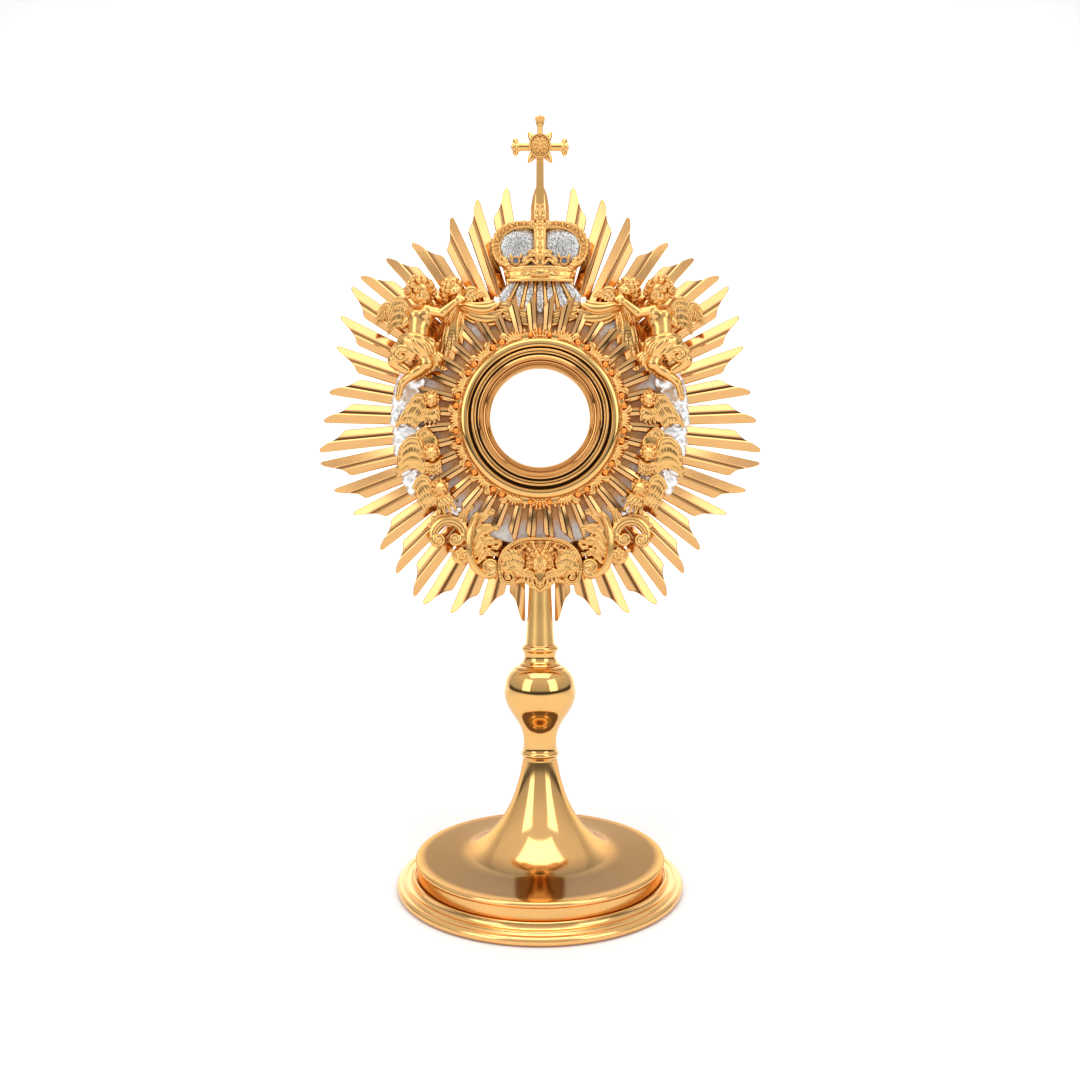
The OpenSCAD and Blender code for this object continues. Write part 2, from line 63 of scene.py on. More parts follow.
def box_mm(node):
    """The low and high corners of a CAD node."""
    low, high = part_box(node)
    return [c / MM for c in low], [c / MM for c in high]


WINDOW_LOW, WINDOW_HIGH = box_mm("luna_case")
HEAD_Z = (WINDOW_LOW[2] + WINDOW_HIGH[2]) / 2
RAY_BACK = -box_mm("sunburst_rays")[1][1]
SHORT_BACK = -box_mm("short_rays")[1][1]


# ---------- materials ----------


class Nodes:
    """A node tree under construction, with short names for the nodes used most."""

    def __init__(self, tree, coords="Object"):
        self.tree = tree
        self.coords = tree.nodes.new("ShaderNodeTexCoord").outputs[coords]

    def feed(self, socket, value):
        """Gives a socket a link from another socket, or a plain value."""
        if isinstance(value, bpy.types.NodeSocket):
            self.tree.links.new(value, socket)
        else:
            socket.default_value = value

    def node(self, kind, inputs=None, **settings):
        made = self.tree.nodes.new("ShaderNode" + kind)
        for name, value in settings.items():
            setattr(made, name, value)
        for name, value in (inputs or {}).items():
            self.feed(made.inputs[name], value)
        return made

    def noise(self, scale, detail=3.0):
        return self.node("TexNoise", {"Vector": self.coords, "Scale": scale, "Detail": detail}).outputs["Fac"]

    def cells(self, scale):
        return self.node("TexVoronoi", {"Vector": self.coords, "Scale": scale}).outputs["Distance"]

    def ramp(self, source, stops):
        made = self.node("ValToRGB", {"Fac": source})
        elements = made.color_ramp.elements
        while len(elements) < len(stops):
            elements.new(0.5)
        for element, (place, value) in zip(elements, stops):
            element.position = place
            element.color = (*value, 1) if isinstance(value, tuple) else (value, value, value, 1)
        return made.outputs["Color"]

    def mix(self, share, a, b):
        """A mix of two colours; the node keeps its colours in sockets 6 and 7, and their mix in 2."""
        return self.node("Mix", {0: share, 6: a, 7: b}, data_type="RGBA").outputs[2]

    def maths(self, operation, a, b):
        return self.node("Math", {0: a, 1: b}, operation=operation).outputs[0]

    def split(self):
        return self.node("SeparateXYZ", {0: self.coords}).outputs

    def length(self, x, y):
        flat = self.node("CombineXYZ", {"X": x, "Y": y})
        return self.node("VectorMath", {0: flat.outputs[0]}, operation="LENGTH").outputs["Value"]

    def bump(self, height, strength, distance, normal=None):
        inputs = {"Height": height, "Strength": strength, "Distance": distance}
        if normal:
            inputs["Normal"] = normal
        return self.node("Bump", inputs).outputs["Normal"]


class Shader(Nodes):
    """A material's nodes; the slot argument is not used."""

    def __init__(self, name, slot, **values):
        self.material = bpy.data.materials.new(name)
        self.material.use_nodes = True
        super().__init__(self.material.node_tree)
        self.set(**values)

    def set(self, **values):
        sockets = self.tree.nodes["Principled BSDF"].inputs
        for name, value in values.items():
            self.feed(sockets[name.replace("_", " ")], value)


# Where the foot's flat disc lies, as (metres from the axis, share of the painted shade on the disc)
DISC_SHADE_SPAN = [(0.046, 0.0), (0.064, 1.0), (0.091, 1.0), (0.097, 0.0)]
DISC_EDGE = (0.84, 0.66, 0.50, 1)
PATCH_SCALE = 22.0
ROUGH_SCALE = 60.0
WAVE_SCALE = 35.0


def plated(name, slot, light, deep, rough, grain, grain_mm, hollow=0.0, reach=3.0, wear=0.10, disc=None):
    """Plated metal: light on the high points, with painted shade (ambient occlusion mixed towards deep) in
    the hollows and between parts, and a fine grain in the surface.
    """
    s = Shader(name, slot, Metallic=1.0)
    worn = [c * (1 - wear) for c in light]
    colour = s.mix(s.ramp(s.noise(PATCH_SCALE, 4.0), [(0.3, 0.0), (0.8, 1.0)]), (*light, 1), (*worn, 1))
    # painted shade: the flat top of the foot is darkened towards disc, standing in for the dim reflection it
    # shows
    if disc:
        x, y, _ = s.split()
        colour = s.mix(s.ramp(s.length(x, y), DISC_SHADE_SPAN), colour, (*disc, 1))
        s.set(Specular_Tint=DISC_EDGE)
    # painted shade: ambient occlusion darkens the colour towards deep in hollows and where parts close in
    if hollow:
        closed = s.node("AmbientOcclusion", {"Distance": reach * MM}, samples=6).outputs["AO"]
        colour = s.mix(s.ramp(closed, [(0.12, hollow), (0.80, 0.0)]), colour, (*deep, 1))
    low, high = rough
    fine = s.bump(s.noise(1 / (grain_mm * MM), 2.0), grain, 0.0002)
    s.set(Base_Color=colour, Roughness=s.ramp(s.noise(ROUGH_SCALE), [(0.25, low), (0.75, high)]),
          Normal=s.bump(s.noise(WAVE_SCALE, 1.0), 0.04, 0.0008, fine))
    return s.material


def hammered(name, slot, light, deep, rough, size):
    """Plate covered with small punched dots."""
    s = Shader(name, slot, Metallic=1.0)
    dots = s.cells(1 / (size * MM))
    s.set(Base_Color=s.mix(s.ramp(dots, [(0.25, 0.0), (0.75, 1.0)]), (*light, 1), (*deep, 1)),
          Roughness=s.ramp(s.noise(80.0), [(0.3, rough), (0.7, rough + 0.1)]), Normal=s.bump(dots, 0.55,
                                                                                             0.0005))
    return s.material


def make_glass():
    s = Shader("glass_clear", "clear_glass", Roughness=0.0, IOR=1.45, Transmission_Weight=1.0)
    s.set(Base_Color=s.ramp(s.noise(4.0), [(0.0, (0.985, 0.995, 0.99)), (1.0, (1.0, 1.0, 1.0))]))
    return s.material


def make_stone():
    s = Shader("stone_dark", "silver_polished", Roughness=0.06, IOR=1.7, Coat_Weight=0.5)
    s.set(Base_Color=s.ramp(s.cells(900.0), [(0.2, (0.05, 0.07, 0.16)), (0.8, (0.16, 0.18, 0.24))]))
    return s.material


# The glory plate turns from copper to silver between these radii in metres, give or take the wander
COPPER_ENDS = 0.089
SILVER_STARTS = 0.101
WANDER = 0.022


def make_glory():
    """Stippled plate: coppery near the window and silver further out."""
    s = Shader("glory_stipple", "silver_stippled", Metallic=0.85, Roughness=0.38)
    x, _, z = s.split()
    radius = s.length(x, s.maths("SUBTRACT", z, HEAD_Z * MM))
    place = s.maths("ADD", radius, s.maths("MULTIPLY", s.noise(90.0, 4.0), WANDER))
    span = s.node("MapRange", {"Value": place, "From Min": COPPER_ENDS, "From Max": SILVER_STARTS}).outputs[0]
    base = s.mix(span, (1.0, 0.60, 0.27, 1), (1.0, 0.97, 0.92, 1))
    shade = s.mix(span, (0.85, 0.36, 0.12, 1), (0.78, 0.70, 0.62, 1))
    dots = s.cells(1 / (0.7 * MM))
    s.set(Base_Color=s.mix(s.ramp(dots, [(0.40, 0.0), (0.95, 1.0)]), base, shade),
          Normal=s.bump(dots, 0.4, 0.0006, s.bump(s.noise(420.0, 2.0), 0.35, 0.0010)))
    return s.material


# colours of the painted shade that ambient occlusion mixes into hollows
GOLD_PAINTED_SHADE = (0.42, 0.11, 0.012)
GOLD_FOOT = (0.95, 0.55, 0.205)
SILVER_PAINTED_SHADE = (0.42, 0.42, 0.43)
# name, slot, light, colour of the painted shade, roughness, grain, grain size, share of painted shade in the
# hollows, and how far it reaches
gold_polished = plated("gold_polished", "gilt_polished", (0.90, 0.525, 0.185), GOLD_PAINTED_SHADE, (0.05, 0.09),
                       0.02, 0.5, 0.6, 2.5)
gold_ray = plated("gold_ray", "gilt_polished", (0.82, 0.46, 0.18), GOLD_PAINTED_SHADE, (0.12, 0.18), 0.03, 0.6, 0.75,
                  2.5)
gold_cast = plated("gold_cast", "gilt_cast", (0.90, 0.52, 0.18), GOLD_PAINTED_SHADE, (0.15, 0.24), 0.10, 0.5, 0.95,
                   2.6)
gold_satin = plated("gold_satin", "gilt_satin", (0.90, 0.52, 0.15), GOLD_PAINTED_SHADE, (0.24, 0.34), 0.12, 0.35, 0.7)
gold_brushed = plated("gold_brushed", "gilt_polished", (1.0, 0.62, 0.22), GOLD_PAINTED_SHADE, (0.27, 0.33),
                      0.05, 0.4, 0.5, 2.5)
# disc is the colour of the painted shade on the foot's flat top
gold_dish = plated("gold_dish", "gilt_polished", GOLD_FOOT, GOLD_PAINTED_SHADE, (0.09, 0.14), 0.03, 0.6, 0.6,
                   disc=(0.22, 0.140, 0.080))
gold_foot = plated("gold_foot", "gilt_polished", GOLD_FOOT, GOLD_PAINTED_SHADE, (0.12, 0.18), 0.04, 0.6, 0.6)
copper_gold = plated("copper_gold", "gilt_polished", (0.98, 0.38, 0.08), (0.30, 0.05, 0.01), (0.08, 0.14),
                     0.04, 0.5, 0.8)
gold_rose = plated("gold_rose", "gilt_polished", (0.72, 0.37, 0.125), (0.36, 0.09, 0.012), (0.05, 0.09),
                   0.02, 0.5, 0.8, 2.5)
# painted shade: a near-black finish for sheets laid in grooves
painted_groove_shade = plated("painted_groove_shade", "gilt_satin", (0.05, 0.026, 0.012), (0.012, 0.006, 0.003), (0.22, 0.35), 0.10,
                   0.4)
brass_worked = plated("brass_worked", "brass_plain", (0.72, 0.44, 0.16), (0.30, 0.16, 0.05), (0.28, 0.40),
                      0.15, 0.4)
silver_bright = plated("silver_bright", "silver_polished", (0.97, 0.965, 0.955), SILVER_PAINTED_SHADE, (0.30, 0.42),
                       0.08, 0.5, 0.7, 2.2, wear=0.05)
silver_punched = hammered("silver_punched", "silver_stippled", (0.93, 0.92, 0.90), (0.34, 0.33, 0.32), 0.26,
                          1.1)
glass_clear = make_glass()
stone_dark = make_stone()
glory_stipple = make_glory()


# ---------- making meshes ----------

def add_piece(name, points, faces, material, nodes=(), body=ROOT):
    """Makes a piece from points in metres and puts it on its body."""
    mesh = bpy.data.meshes.new(name)
    mesh.from_pydata([tuple(p) for p in points], [], [tuple(f) for f in faces])
    mesh.validate()
    mesh.materials.append(material)
    mesh.polygons.foreach_set("use_smooth", [True] * len(mesh.polygons))
    piece = bpy.data.objects.new(name, mesh)
    bpy.context.scene.collection.objects.link(piece)
    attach(piece, body)
    if nodes:
        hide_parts(*nodes)
    return piece


def add_hard_piece(name, points, faces, material, nodes, sharp):
    """A piece with edges over a given angle kept sharp, and its faces turned outwards."""
    piece = add_piece(name, points, faces, material, nodes)
    clean = bmesh.new()
    clean.from_mesh(piece.data)
    bmesh.ops.remove_doubles(clean, verts=clean.verts, dist=1e-6)
    bmesh.ops.recalc_face_normals(clean, faces=clean.faces)
    clean.to_mesh(piece.data)
    clean.free()
    piece.data.set_sharp_from_angle(angle=math.radians(sharp))


def from_head(points):
    """Head millimetres to metres in the shared frame."""
    p = np.asarray(points, float)
    return np.stack([p[:, 0], -p[:, 2], p[:, 1] + HEAD_Z], axis=1) * MM


def bezier(p, steps):
    """Points of a cubic Bezier curve through four control points."""
    a, b, c, d = [np.array(q, float) for q in p]
    ts = [i / steps for i in range(steps + 1)]
    return [tuple((1 - t) ** 3 * a + 3 * (1 - t) ** 2 * t * b + 3 * (1 - t) * t * t * c + t ** 3 * d)
            for t in ts]


def curve(points, count):
    """A smooth run of points through a few given ones (Catmull-Rom)."""
    p = [np.array(q, float) for q in points]
    p = [2 * p[0] - p[1]] + p + [2 * p[-1] - p[-2]]
    spans = len(p) - 3
    out = []
    for i in range(count):
        s = i / (count - 1) * spans
        k = min(int(s), spans - 1)
        t = s - k
        a, b, c, d = p[k:k + 4]
        out.append(0.5 * (2 * b + (c - a) * t + (2 * a - 5 * b + 4 * c - d) * t * t
                          + (3 * b - a - 3 * c + d) * t ** 3))
    return out


def arc(centre, radius, start, end, count):
    """Points of an arc in degrees."""
    steps = [math.radians(start + (end - start) * i / (count - 1)) for i in range(count)]
    return [(centre[0] + radius * math.cos(a), centre[1] + radius * math.sin(a)) for a in steps]


def bead(middle, radius, top, steps=6):
    """Points over a half-round moulding, from its window side to its outer side."""
    return [(middle - radius * math.cos(math.pi * i / steps),
             top - radius + radius * math.sin(math.pi * i / steps))
            for i in range(steps + 1)]


def turned(section, angle):
    """Points (x, y, z) carried round the axis by an angle in radians."""
    c, s = math.cos(angle), math.sin(angle)
    return [(x * c - y * s, x * s + y * c, z) for x, y, z in section]


def all_round(profile):
    """A profile of (radius, height) points repeated round the axis."""
    section = [(r, 0, h) for r, h in profile]
    return [turned(section, 2 * math.pi * i / LATHE_STEPS) for i in range(LATHE_STEPS)]


def skin(points, faces, loops, caps="plain"):
    """Joins loops of points into a bar with plain ends, with ends like a ladder, or closed into a ring."""
    base, n = len(points), len(loops[0])
    for loop in loops:
        points += loop
    for i in range(len(loops) - (caps != "ring")):
        j = (i + 1) % len(loops)
        for k in range(n):
            m = (k + 1) % n
            faces.append((base + i * n + k, base + j * n + k, base + j * n + m, base + i * n + m))
    if caps == "ring":
        return
    first, last = range(base, base + n), range(len(points) - n, len(points))
    if caps == "plain":
        faces += [tuple(first), tuple(last)[::-1]]
        return
    for k in range(n // 2 - 1):
        rung = (k, k + 1, n - 2 - k, n - 1 - k)
        faces += [tuple(first[q] for q in rung), tuple(last[q] for q in rung[::-1])]


def lathe(name, profile, material, nodes, on_head=False, sharp=28):
    """A closed turned shape: profile is (radius, height) all the way round its section."""
    points, faces = [], []
    skin(points, faces, all_round(profile), "ring")
    add_hard_piece(name, from_head(points) if on_head else np.array(points) * MM, faces, material, nodes,
                   sharp)


# ---------- clay ----------

CORNERS = [(i, j, k) for i in (0, 1) for j in (0, 1) for k in (0, 1)]
EDGES = [(a, b) for a in range(8) for b in range(a + 1, 8)
         if sum(abs(p - q) for p, q in zip(CORNERS[a], CORNERS[b])) == 1]


class Clay:
    """A block of modelling clay: signed distances on a grid, in head millimetres."""

    def __init__(self, low, high, step=0.45):
        self.low = np.array(low, float)
        self.step = step
        self.size = np.ceil((np.array(high, float) - self.low) / step).astype(int) + 1
        self.field = np.full(self.size, 9.0, np.float32)

    def near(self, a, b, reach):
        """The cells within reach of the line from a to b, and their places seen from a."""
        reach += self.step * 2
        start = np.floor((np.minimum(a, b) - reach - self.low) / self.step).astype(int)
        end = np.ceil((np.maximum(a, b) + reach - self.low) / self.step).astype(int) + 1
        start, end = np.clip(start, 0, self.size), np.clip(end, 0, self.size)
        if (end <= start).any():
            return None, None
        x, y, z = [self.low[i] + self.step * np.arange(start[i], end[i],
                                                       dtype=np.float32) - a[i] for i in range(3)]
        return tuple(map(slice, start, end)), (x[:, None, None], y[None, :, None], z[None, None, :])

    def merge(self, where, d, soft, cut=False):
        """Adds a shape given by its distances, or cuts it out, with a soft join."""
        f = self.field[where]
        if cut:
            f, d = -f, d
        h = np.clip(0.5 + 0.5 * (f - d) / soft, 0, 1)
        out = f + (d - f) * h - soft * h * (1 - h)
        self.field[where] = -out if cut else out

    def egg(self, centre, radii, turn=0.0, soft=0.8, cut=False):
        """An ellipsoid, turned in the face's plane by an angle in degrees."""
        where, grid = self.near(centre, centre, max(radii) + soft)
        if where is None:
            return
        x, y, z = grid
        if turn:
            a = math.radians(turn)
            x, y = x * math.cos(a) + y * math.sin(a), y * math.cos(a) - x * math.sin(a)
        rx, ry, rz = radii
        k0 = np.sqrt((x / rx) ** 2 + (y / ry) ** 2 + (z / rz) ** 2)
        k1 = np.sqrt((x / rx ** 2) ** 2 + (y / ry ** 2) ** 2 + (z / rz ** 2) ** 2) + 1e-6
        self.merge(where, k0 * (k0 - 1) / k1, soft, cut)

    def rod(self, a, b, ra, rb, soft=0.8, cut=False, flat=1.0):
        """A round bar from a to b; flat under 1 squashes it towards the face's plane."""
        where, grid = self.near(a, b, max(ra, rb) + soft)
        if where is None:
            return
        x, y, z = grid
        d = np.array(b, float) - np.array(a, float)
        t = np.clip((x * d[0] + y * d[1] + z * d[2]) / max(d @ d, 1e-9), 0, 1)
        away = np.sqrt((x - t * d[0]) ** 2 + (y - t * d[1]) ** 2 + ((z - t * d[2]) / flat) ** 2)
        self.merge(where, (away - (ra + (rb - ra) * t)) * max(flat, 0.6), soft, cut)

    def chain(self, line, size, soft, flat=1.0):
        """A bar of one thickness from point to point."""
        for a, b in zip(line, line[1:]):
            self.rod(a, b, size, size, soft, flat=flat)

    def tube(self, points, radii, soft=0.5, flat=1.0, count=None):
        """A bar along a smooth line; radii are spread along it."""
        count = count or max(8, len(points) * 5)
        line = curve(points, count)
        sizes = np.interp(np.linspace(0, 1, count), np.linspace(0, 1, len(radii)), radii)
        for i in range(count - 1):
            self.rod(line[i], line[i + 1], sizes[i], sizes[i + 1], soft, flat=flat)

    def spiral(self, centre, start, turns, r0, r1, thick0, thick1, hand=1, soft=0.4, rise=0.0):
        """A curl that winds inwards from radius r0 at angle start."""
        count = max(10, int(abs(turns) * 16))
        last = None
        for i in range(count + 1):
            t = i / count
            a = math.radians(start) + hand * turns * 2 * math.pi * t
            r = r0 + (r1 - r0) * t ** 0.8
            p = (centre[0] + r * math.cos(a), centre[1] + r * math.sin(a), centre[2] + rise * t)
            size = thick0 + (thick1 - thick0) * t
            if last:
                self.rod(last[0], p, last[1], size, soft)
            last = (p, size)

    def grow(self, amount):
        self.field -= amount

    def cut_behind(self, depth):
        heights = self.low[2] + self.step * np.arange(self.size[2], dtype=np.float32)
        self.field = np.maximum(self.field, depth - heights)

    def mesh(self):
        """Surface nets: one point for each cell that the surface passes through."""
        f = self.field
        for axis in range(3):
            for end in (0, -1):
                side = np.moveaxis(f, axis, 0)[end]
                np.maximum(side, 0.5, out=side)
        inside = f < 0
        n = [s - 1 for s in f.shape]
        count = np.zeros(n, np.uint8)
        for i, j, k in CORNERS:
            count += inside[i:i + n[0], j:j + n[1], k:k + n[2]]
        cells = np.argwhere((count > 0) & (count < 8))
        index = np.full(n, -1, np.int64)
        index[tuple(cells.T)] = np.arange(len(cells))
        values = [f[tuple((cells + c).T)] for c in CORNERS]
        total = np.zeros((len(cells), 3))
        hits = np.zeros(len(cells))
        for a, b in EDGES:
            crossed = (values[a] < 0) != (values[b] < 0)
            gap = np.where(crossed, values[a] - values[b], 1.0)
            t = np.where(crossed, values[a] / gap, 0.0)
            p = np.array(CORNERS[a]) + t[:, None] * (np.array(CORNERS[b]) - np.array(CORNERS[a]))
            total += p * crossed[:, None]
            hits += crossed
        points = self.low + self.step * (cells + total / hits[:, None])
        quads = np.concatenate([self.walls(inside, index, axis) for axis in range(3)])
        return relaxed(points, quads), quads

    def walls(self, inside, index, axis):
        """The faces between neighbouring cells along one axis, one in the clay and the other outside it."""
        keep = [slice(1, -1)] * 3
        keep[axis] = slice(0, -1)
        ahead = [slice(1, -1)] * 3
        ahead[axis] = slice(1, None)
        here, there = inside[tuple(keep)], inside[tuple(ahead)]
        spots = np.argwhere(here != there)
        leaving = here[tuple(spots.T)]
        base = spots + 1
        base[:, axis] -= 1
        du, dv = np.roll(np.eye(3, dtype=int), -1 - axis, axis=0)[:2]
        ring = [index[tuple((base - s).T)] for s in (0 * du, du, du + dv, dv)]
        ring = np.stack(ring, axis=1)
        ring[~leaving] = ring[~leaving][:, ::-1]
        return ring


def relaxed(points, quads):
    """Moves each point halfway to the middle of its neighbours, which takes out the steps of the grid."""
    after = np.roll(quads, -1, axis=1)
    here = np.concatenate([quads.ravel(), after.ravel()])
    there = np.concatenate([after.ravel(), quads.ravel()])
    hits = np.maximum(np.bincount(here, minlength=len(points)), 1)
    middle = [np.bincount(here, points[there, axis], len(points)) / hits for axis in range(3)]
    return (points + np.stack(middle, axis=1)) / 2


def cast(name, clay, nodes=(), material=gold_cast):
    """Turns clay into a piece."""
    points, faces = clay.mesh()
    add_piece(name, from_head(points), faces.tolist(), material, nodes)


def cast_pair(name, clay, node, material=gold_cast):
    """Turns clay into a left-hand piece and its mirrored right-hand twin."""
    points, faces = clay.mesh()
    add_piece(f"{name}_left", from_head(points), faces.tolist(), material, [f"{node}_left"])
    twin = from_head(points * (-1, 1, 1))
    add_piece(f"{name}_right", twin, faces[:, ::-1].tolist(), material, [f"{node}_right"])


# ---------- foot and stem ----------

BELL_TOP = 98.0
KNOP_R = 28.8
BORE = 3.2


def build_stem():
    rim = [(94, 2.4), (94, 10.5), (97.9, 10.5)] + bead(99.1, 1.1, 11.6)
    rim += bezier([(100.3, 10.2), (100.6, 7.2), (103, 6.6), (105.3, 7.4)], 8) + bead(106.4, 0.8, 8.4)
    rim += arc((109.4, 3.4), 3.3, 100, -72, 16)
    lathe("foot_rim", rim + [(109.5, 0), (104, 0), (104, 2.4)], gold_foot, ["base_ring"])
    step = [(96.6, 10.5), (97.4, 11.2), (97.4, 18.6)] + arc((96.1, 21.8), 2.4, -50, 120, 14)
    disc = bezier([(93.6, 24.0), (84, 24.4), (70, 25.2), (58, 27)], 10)
    bell = bezier([(58, 27), (48, 31), (21, 46), (13.7, BELL_TOP)], 40)
    inside = bezier([(58, 25.4), (46, 29.4), (19.4, 45), (11.8, BELL_TOP - 3)], 16)
    dish = step + disc + bell[1:] + [(BORE, BELL_TOP), (BORE, BELL_TOP - 3)] + inside[::-1]
    lathe("foot_dish", dish + [(92, 22.4), (95, 22), (95, 10.5)], gold_dish, ["base_foot"])
    collar = [(13.9, BELL_TOP), (13.9, 98.6), (13.5, 99.2)] + arc((12.1, 102.9), 2.9, -52, 58, 12)
    collar += [(13.3, 106.2), (13.2, 109.6), (BORE, 109.6), (BORE, BELL_TOP)]
    lathe("collar_low", collar, gold_polished, ["lower_collar"])
    knop = [(13.2, 109.6)] + bezier([(13.2, 112), (13.2, 130), (27, 133), (KNOP_R, 151)], 26)
    knop += bezier([(KNOP_R, 151), (KNOP_R, 162), (25, 168.5), (20.4, 171)], 18)[1:]
    knop += [(20.9, 171.5), (20.2, 172.1), (18.4, 173.0), (BORE, 173.0), (BORE, 170.6)]
    hollow = bezier([(11.6, 112), (11.6, 131), (25, 135), (KNOP_R - 1.8, 151)], 12)
    hollow += bezier([(KNOP_R - 1.8, 151), (KNOP_R - 1.8, 162), (23, 168), (17, 169.6)], 10)[1:]
    lathe("knop_turned", knop + hollow[::-1] + [(BORE, 112), (BORE, 109.6)], gold_polished, ["knop"])
    collar = [(16.5, 173.0), (16.9, 173.6), (16.4, 174.4)]
    collar += bezier([(15.6, 175), (13.2, 176), (12.6, 179), (12.9, 182.6)], 10)
    collar += [(13.3, 183.4)] + arc((12.5, 186.4), 2.4, -55, 62, 12)
    collar += [(13.2, 189), (13.0, 189.5), (BORE, 189.5), (BORE, 173.0)]
    lathe("collar_high", collar, gold_polished, ["upper_collar"])
    tube = bezier([(11.7, 189.5), (10.7, 202), (9.2, 224), (9, 246)], 20)
    tube += [(7.7, 246), (7.7, 225), (BORE, 225), (BORE, 222), (7.6, 222), (10, 192.5), (BORE, 192.5),
             (BORE, 189.5)]
    lathe("neck", tube, gold_brushed, ["neck_tube"])


# ---------- sunburst ----------

RAYS_PER_SIDE = 22
RAYS_PER_WAVE = 6
WAVE_START = 0.8
FIRST_RAY = 10.2
RAY_PITCH = 7.75
RAY_ROOT = 84.0
RAY_ROOT_HALF = 5.4
RAY_SHOULDER = 112.0
RAY_BESIDE_WINDOW = 181.0
RAY_RISE = 8.0
RAY_WAVE = 6.2
RAY_BASE_HALF = 5.6
RAY_FLARE = 0.0165
STEM_CLEAR = 11.8
MIDDLE_HALF = 7.8
MIDDLE_ROUND = 161.0
MIDDLE_TIP = 190.4
# Across a ray from its long side: (share of the width, height above the back)
RAY_SECTION = [(0.0, 0.5), (0.04, 1.7), (0.40, 4.2), (0.47, 3.6), (0.485, 2.2), (0.505, 2.2), (0.52, 3.2),
               (0.60, 3.3), (0.66, 3.9), (0.95, 1.8), (1.0, 0.5)]
RAY_EXTRA_COLUMNS = {0.02, 0.08, 0.13, 0.2, 0.28, 0.48, 0.57, 0.75, 0.82, 0.88, 0.98}
RAY_BEVEL = 1.0


def ray_angle(k):
    return math.copysign(FIRST_RAY + (abs(k) - 1) * RAY_PITCH, k)


def ray_tip(k):
    """The tips rise and fall in waves of six rays, and are longer above the window than below."""
    wave = 1 - math.cos(2 * math.pi * (abs(k) - WAVE_START) / RAYS_PER_WAVE)
    return RAY_BESIDE_WINDOW + RAY_RISE * math.cos(math.radians(ray_angle(k))) - RAY_WAVE * wave


def ray_half(r):
    if r > RAY_SHOULDER:
        return RAY_BASE_HALF + RAY_FLARE * r
    share = (r - RAY_ROOT) / (RAY_SHOULDER - RAY_ROOT)
    return RAY_ROOT_HALF + share * (RAY_BASE_HALF + RAY_FLARE * RAY_SHOULDER - RAY_ROOT_HALF)


def smooth(low, high, t):
    t = min(max((t - low) / (high - low), 0.0), 1.0)
    return t * t * (3 - 2 * t)


def section_height(u):
    for (a, ha), (b, hb) in zip(RAY_SECTION, RAY_SECTION[1:]):
        if u <= b:
            return ha + (hb - ha) * (u - a) / (b - a)
    return RAY_SECTION[-1][1]


def bar(points, faces, columns, turn):
    """One solid bar made of columns; each column is a run of (across, along, height) points."""
    loops = []
    for column in columns:
        front = [(x, r, height + RAY_BACK) for x, r, height in column]
        back = [(x, r, RAY_BACK) for x, r, _ in column]
        loops.append(turned(front + back[::-1], turn))
    skin(points, faces, loops, "ladder")


def hook(u):
    """How far a ray's end drops across its width: a long slope, a step and two rounded corners."""
    slope, step = 18.2 * smooth(0.10, 0.78, u), 2.4 * smooth(0.7, 0.95, u)
    return slope + step + 2 * smooth(0.93, 1, u) + 1.8 * smooth(0.05, 0, u)


def ray_mesh(points, faces, k):
    """One ray: facets along its length, and a hooked point on its long side."""
    turn = -math.radians(ray_angle(k))
    long_side = math.copysign(1, k) * (-1 if (abs(k) - 1) % RAYS_PER_WAVE < 3 else 1)
    columns = []
    for u in sorted({u for u, _ in RAY_SECTION} | RAY_EXTRA_COLUMNS):
        end = ray_tip(k) - hook(u)
        column = []
        for r in (RAY_ROOT, RAY_SHOULDER, (RAY_SHOULDER + end) / 2, end - RAY_BEVEL, end):
            x = (1 - 2 * u) * ray_half(r) * long_side
            if abs(k) == RAYS_PER_SIDE:
                # the lowest pair keeps clear of the stem
                aside = x * math.cos(turn) - r * math.sin(turn)
                x += math.copysign(max(STEM_CLEAR - abs(aside), 0), aside * math.cos(turn))
            height = section_height(u)
            column.append((x, r, max(height - 0.7, 0.4) if r == end else height))
        columns.append(column)
    bar(points, faces, columns, turn)


def middle_ray(points, faces):
    """The one ray behind the crown: straight sides and an elliptical end."""
    outline = [(RAY_ROOT, RAY_ROOT_HALF), (MIDDLE_ROUND, MIDDLE_HALF)]
    for step in range(1, 10):
        a = math.radians(9.9 * step)
        outline.append((MIDDLE_ROUND + (MIDDLE_TIP - MIDDLE_ROUND) * math.sin(a), MIDDLE_HALF * math.cos(a)))
    columns = []
    for u in (0, 0.06, 0.2, 0.35, 0.5, 0.65, 0.8, 0.94, 1):
        height = 0.6 + 3.0 * (1 - abs(2 * u - 1) ** 2.5)
        columns.append([((1 - 2 * u) * half, r, height) for r, half in outline])
    bar(points, faces, columns, 0.0)


def build_rays():
    points, faces = [], []
    for k in range(1, RAYS_PER_SIDE + 1):
        for side in SIDES:
            ray_mesh(points, faces, side * k)
    middle_ray(points, faces)
    add_hard_piece("rays", from_head(points), faces, gold_ray, ["sunburst_rays"], 9)


# ---------- modelled castings ----------

SEAT = 4.3  # the depth of the plate's face, where castings on it are cut off

class Spot:
    """A place on the head with its own turn and size: local x right, y up, z out, in its own units."""

    def __init__(self, centre, size=1.0, look=0.0, nod=0.0, turn=0.0):
        rot = (Matrix.Rotation(math.radians(turn), 3, "Z") @ Matrix.Rotation(math.radians(look), 3, "Y")
               @ Matrix.Rotation(math.radians(nod), 3, "X"))
        self.matrix = np.array(rot) * size
        self.centre = np.array(centre, float)
        self.size = size
        self.turn = turn

    def __call__(self, x, y, z=0.0):
        return self.centre + self.matrix @ np.array((x, y, z), float)


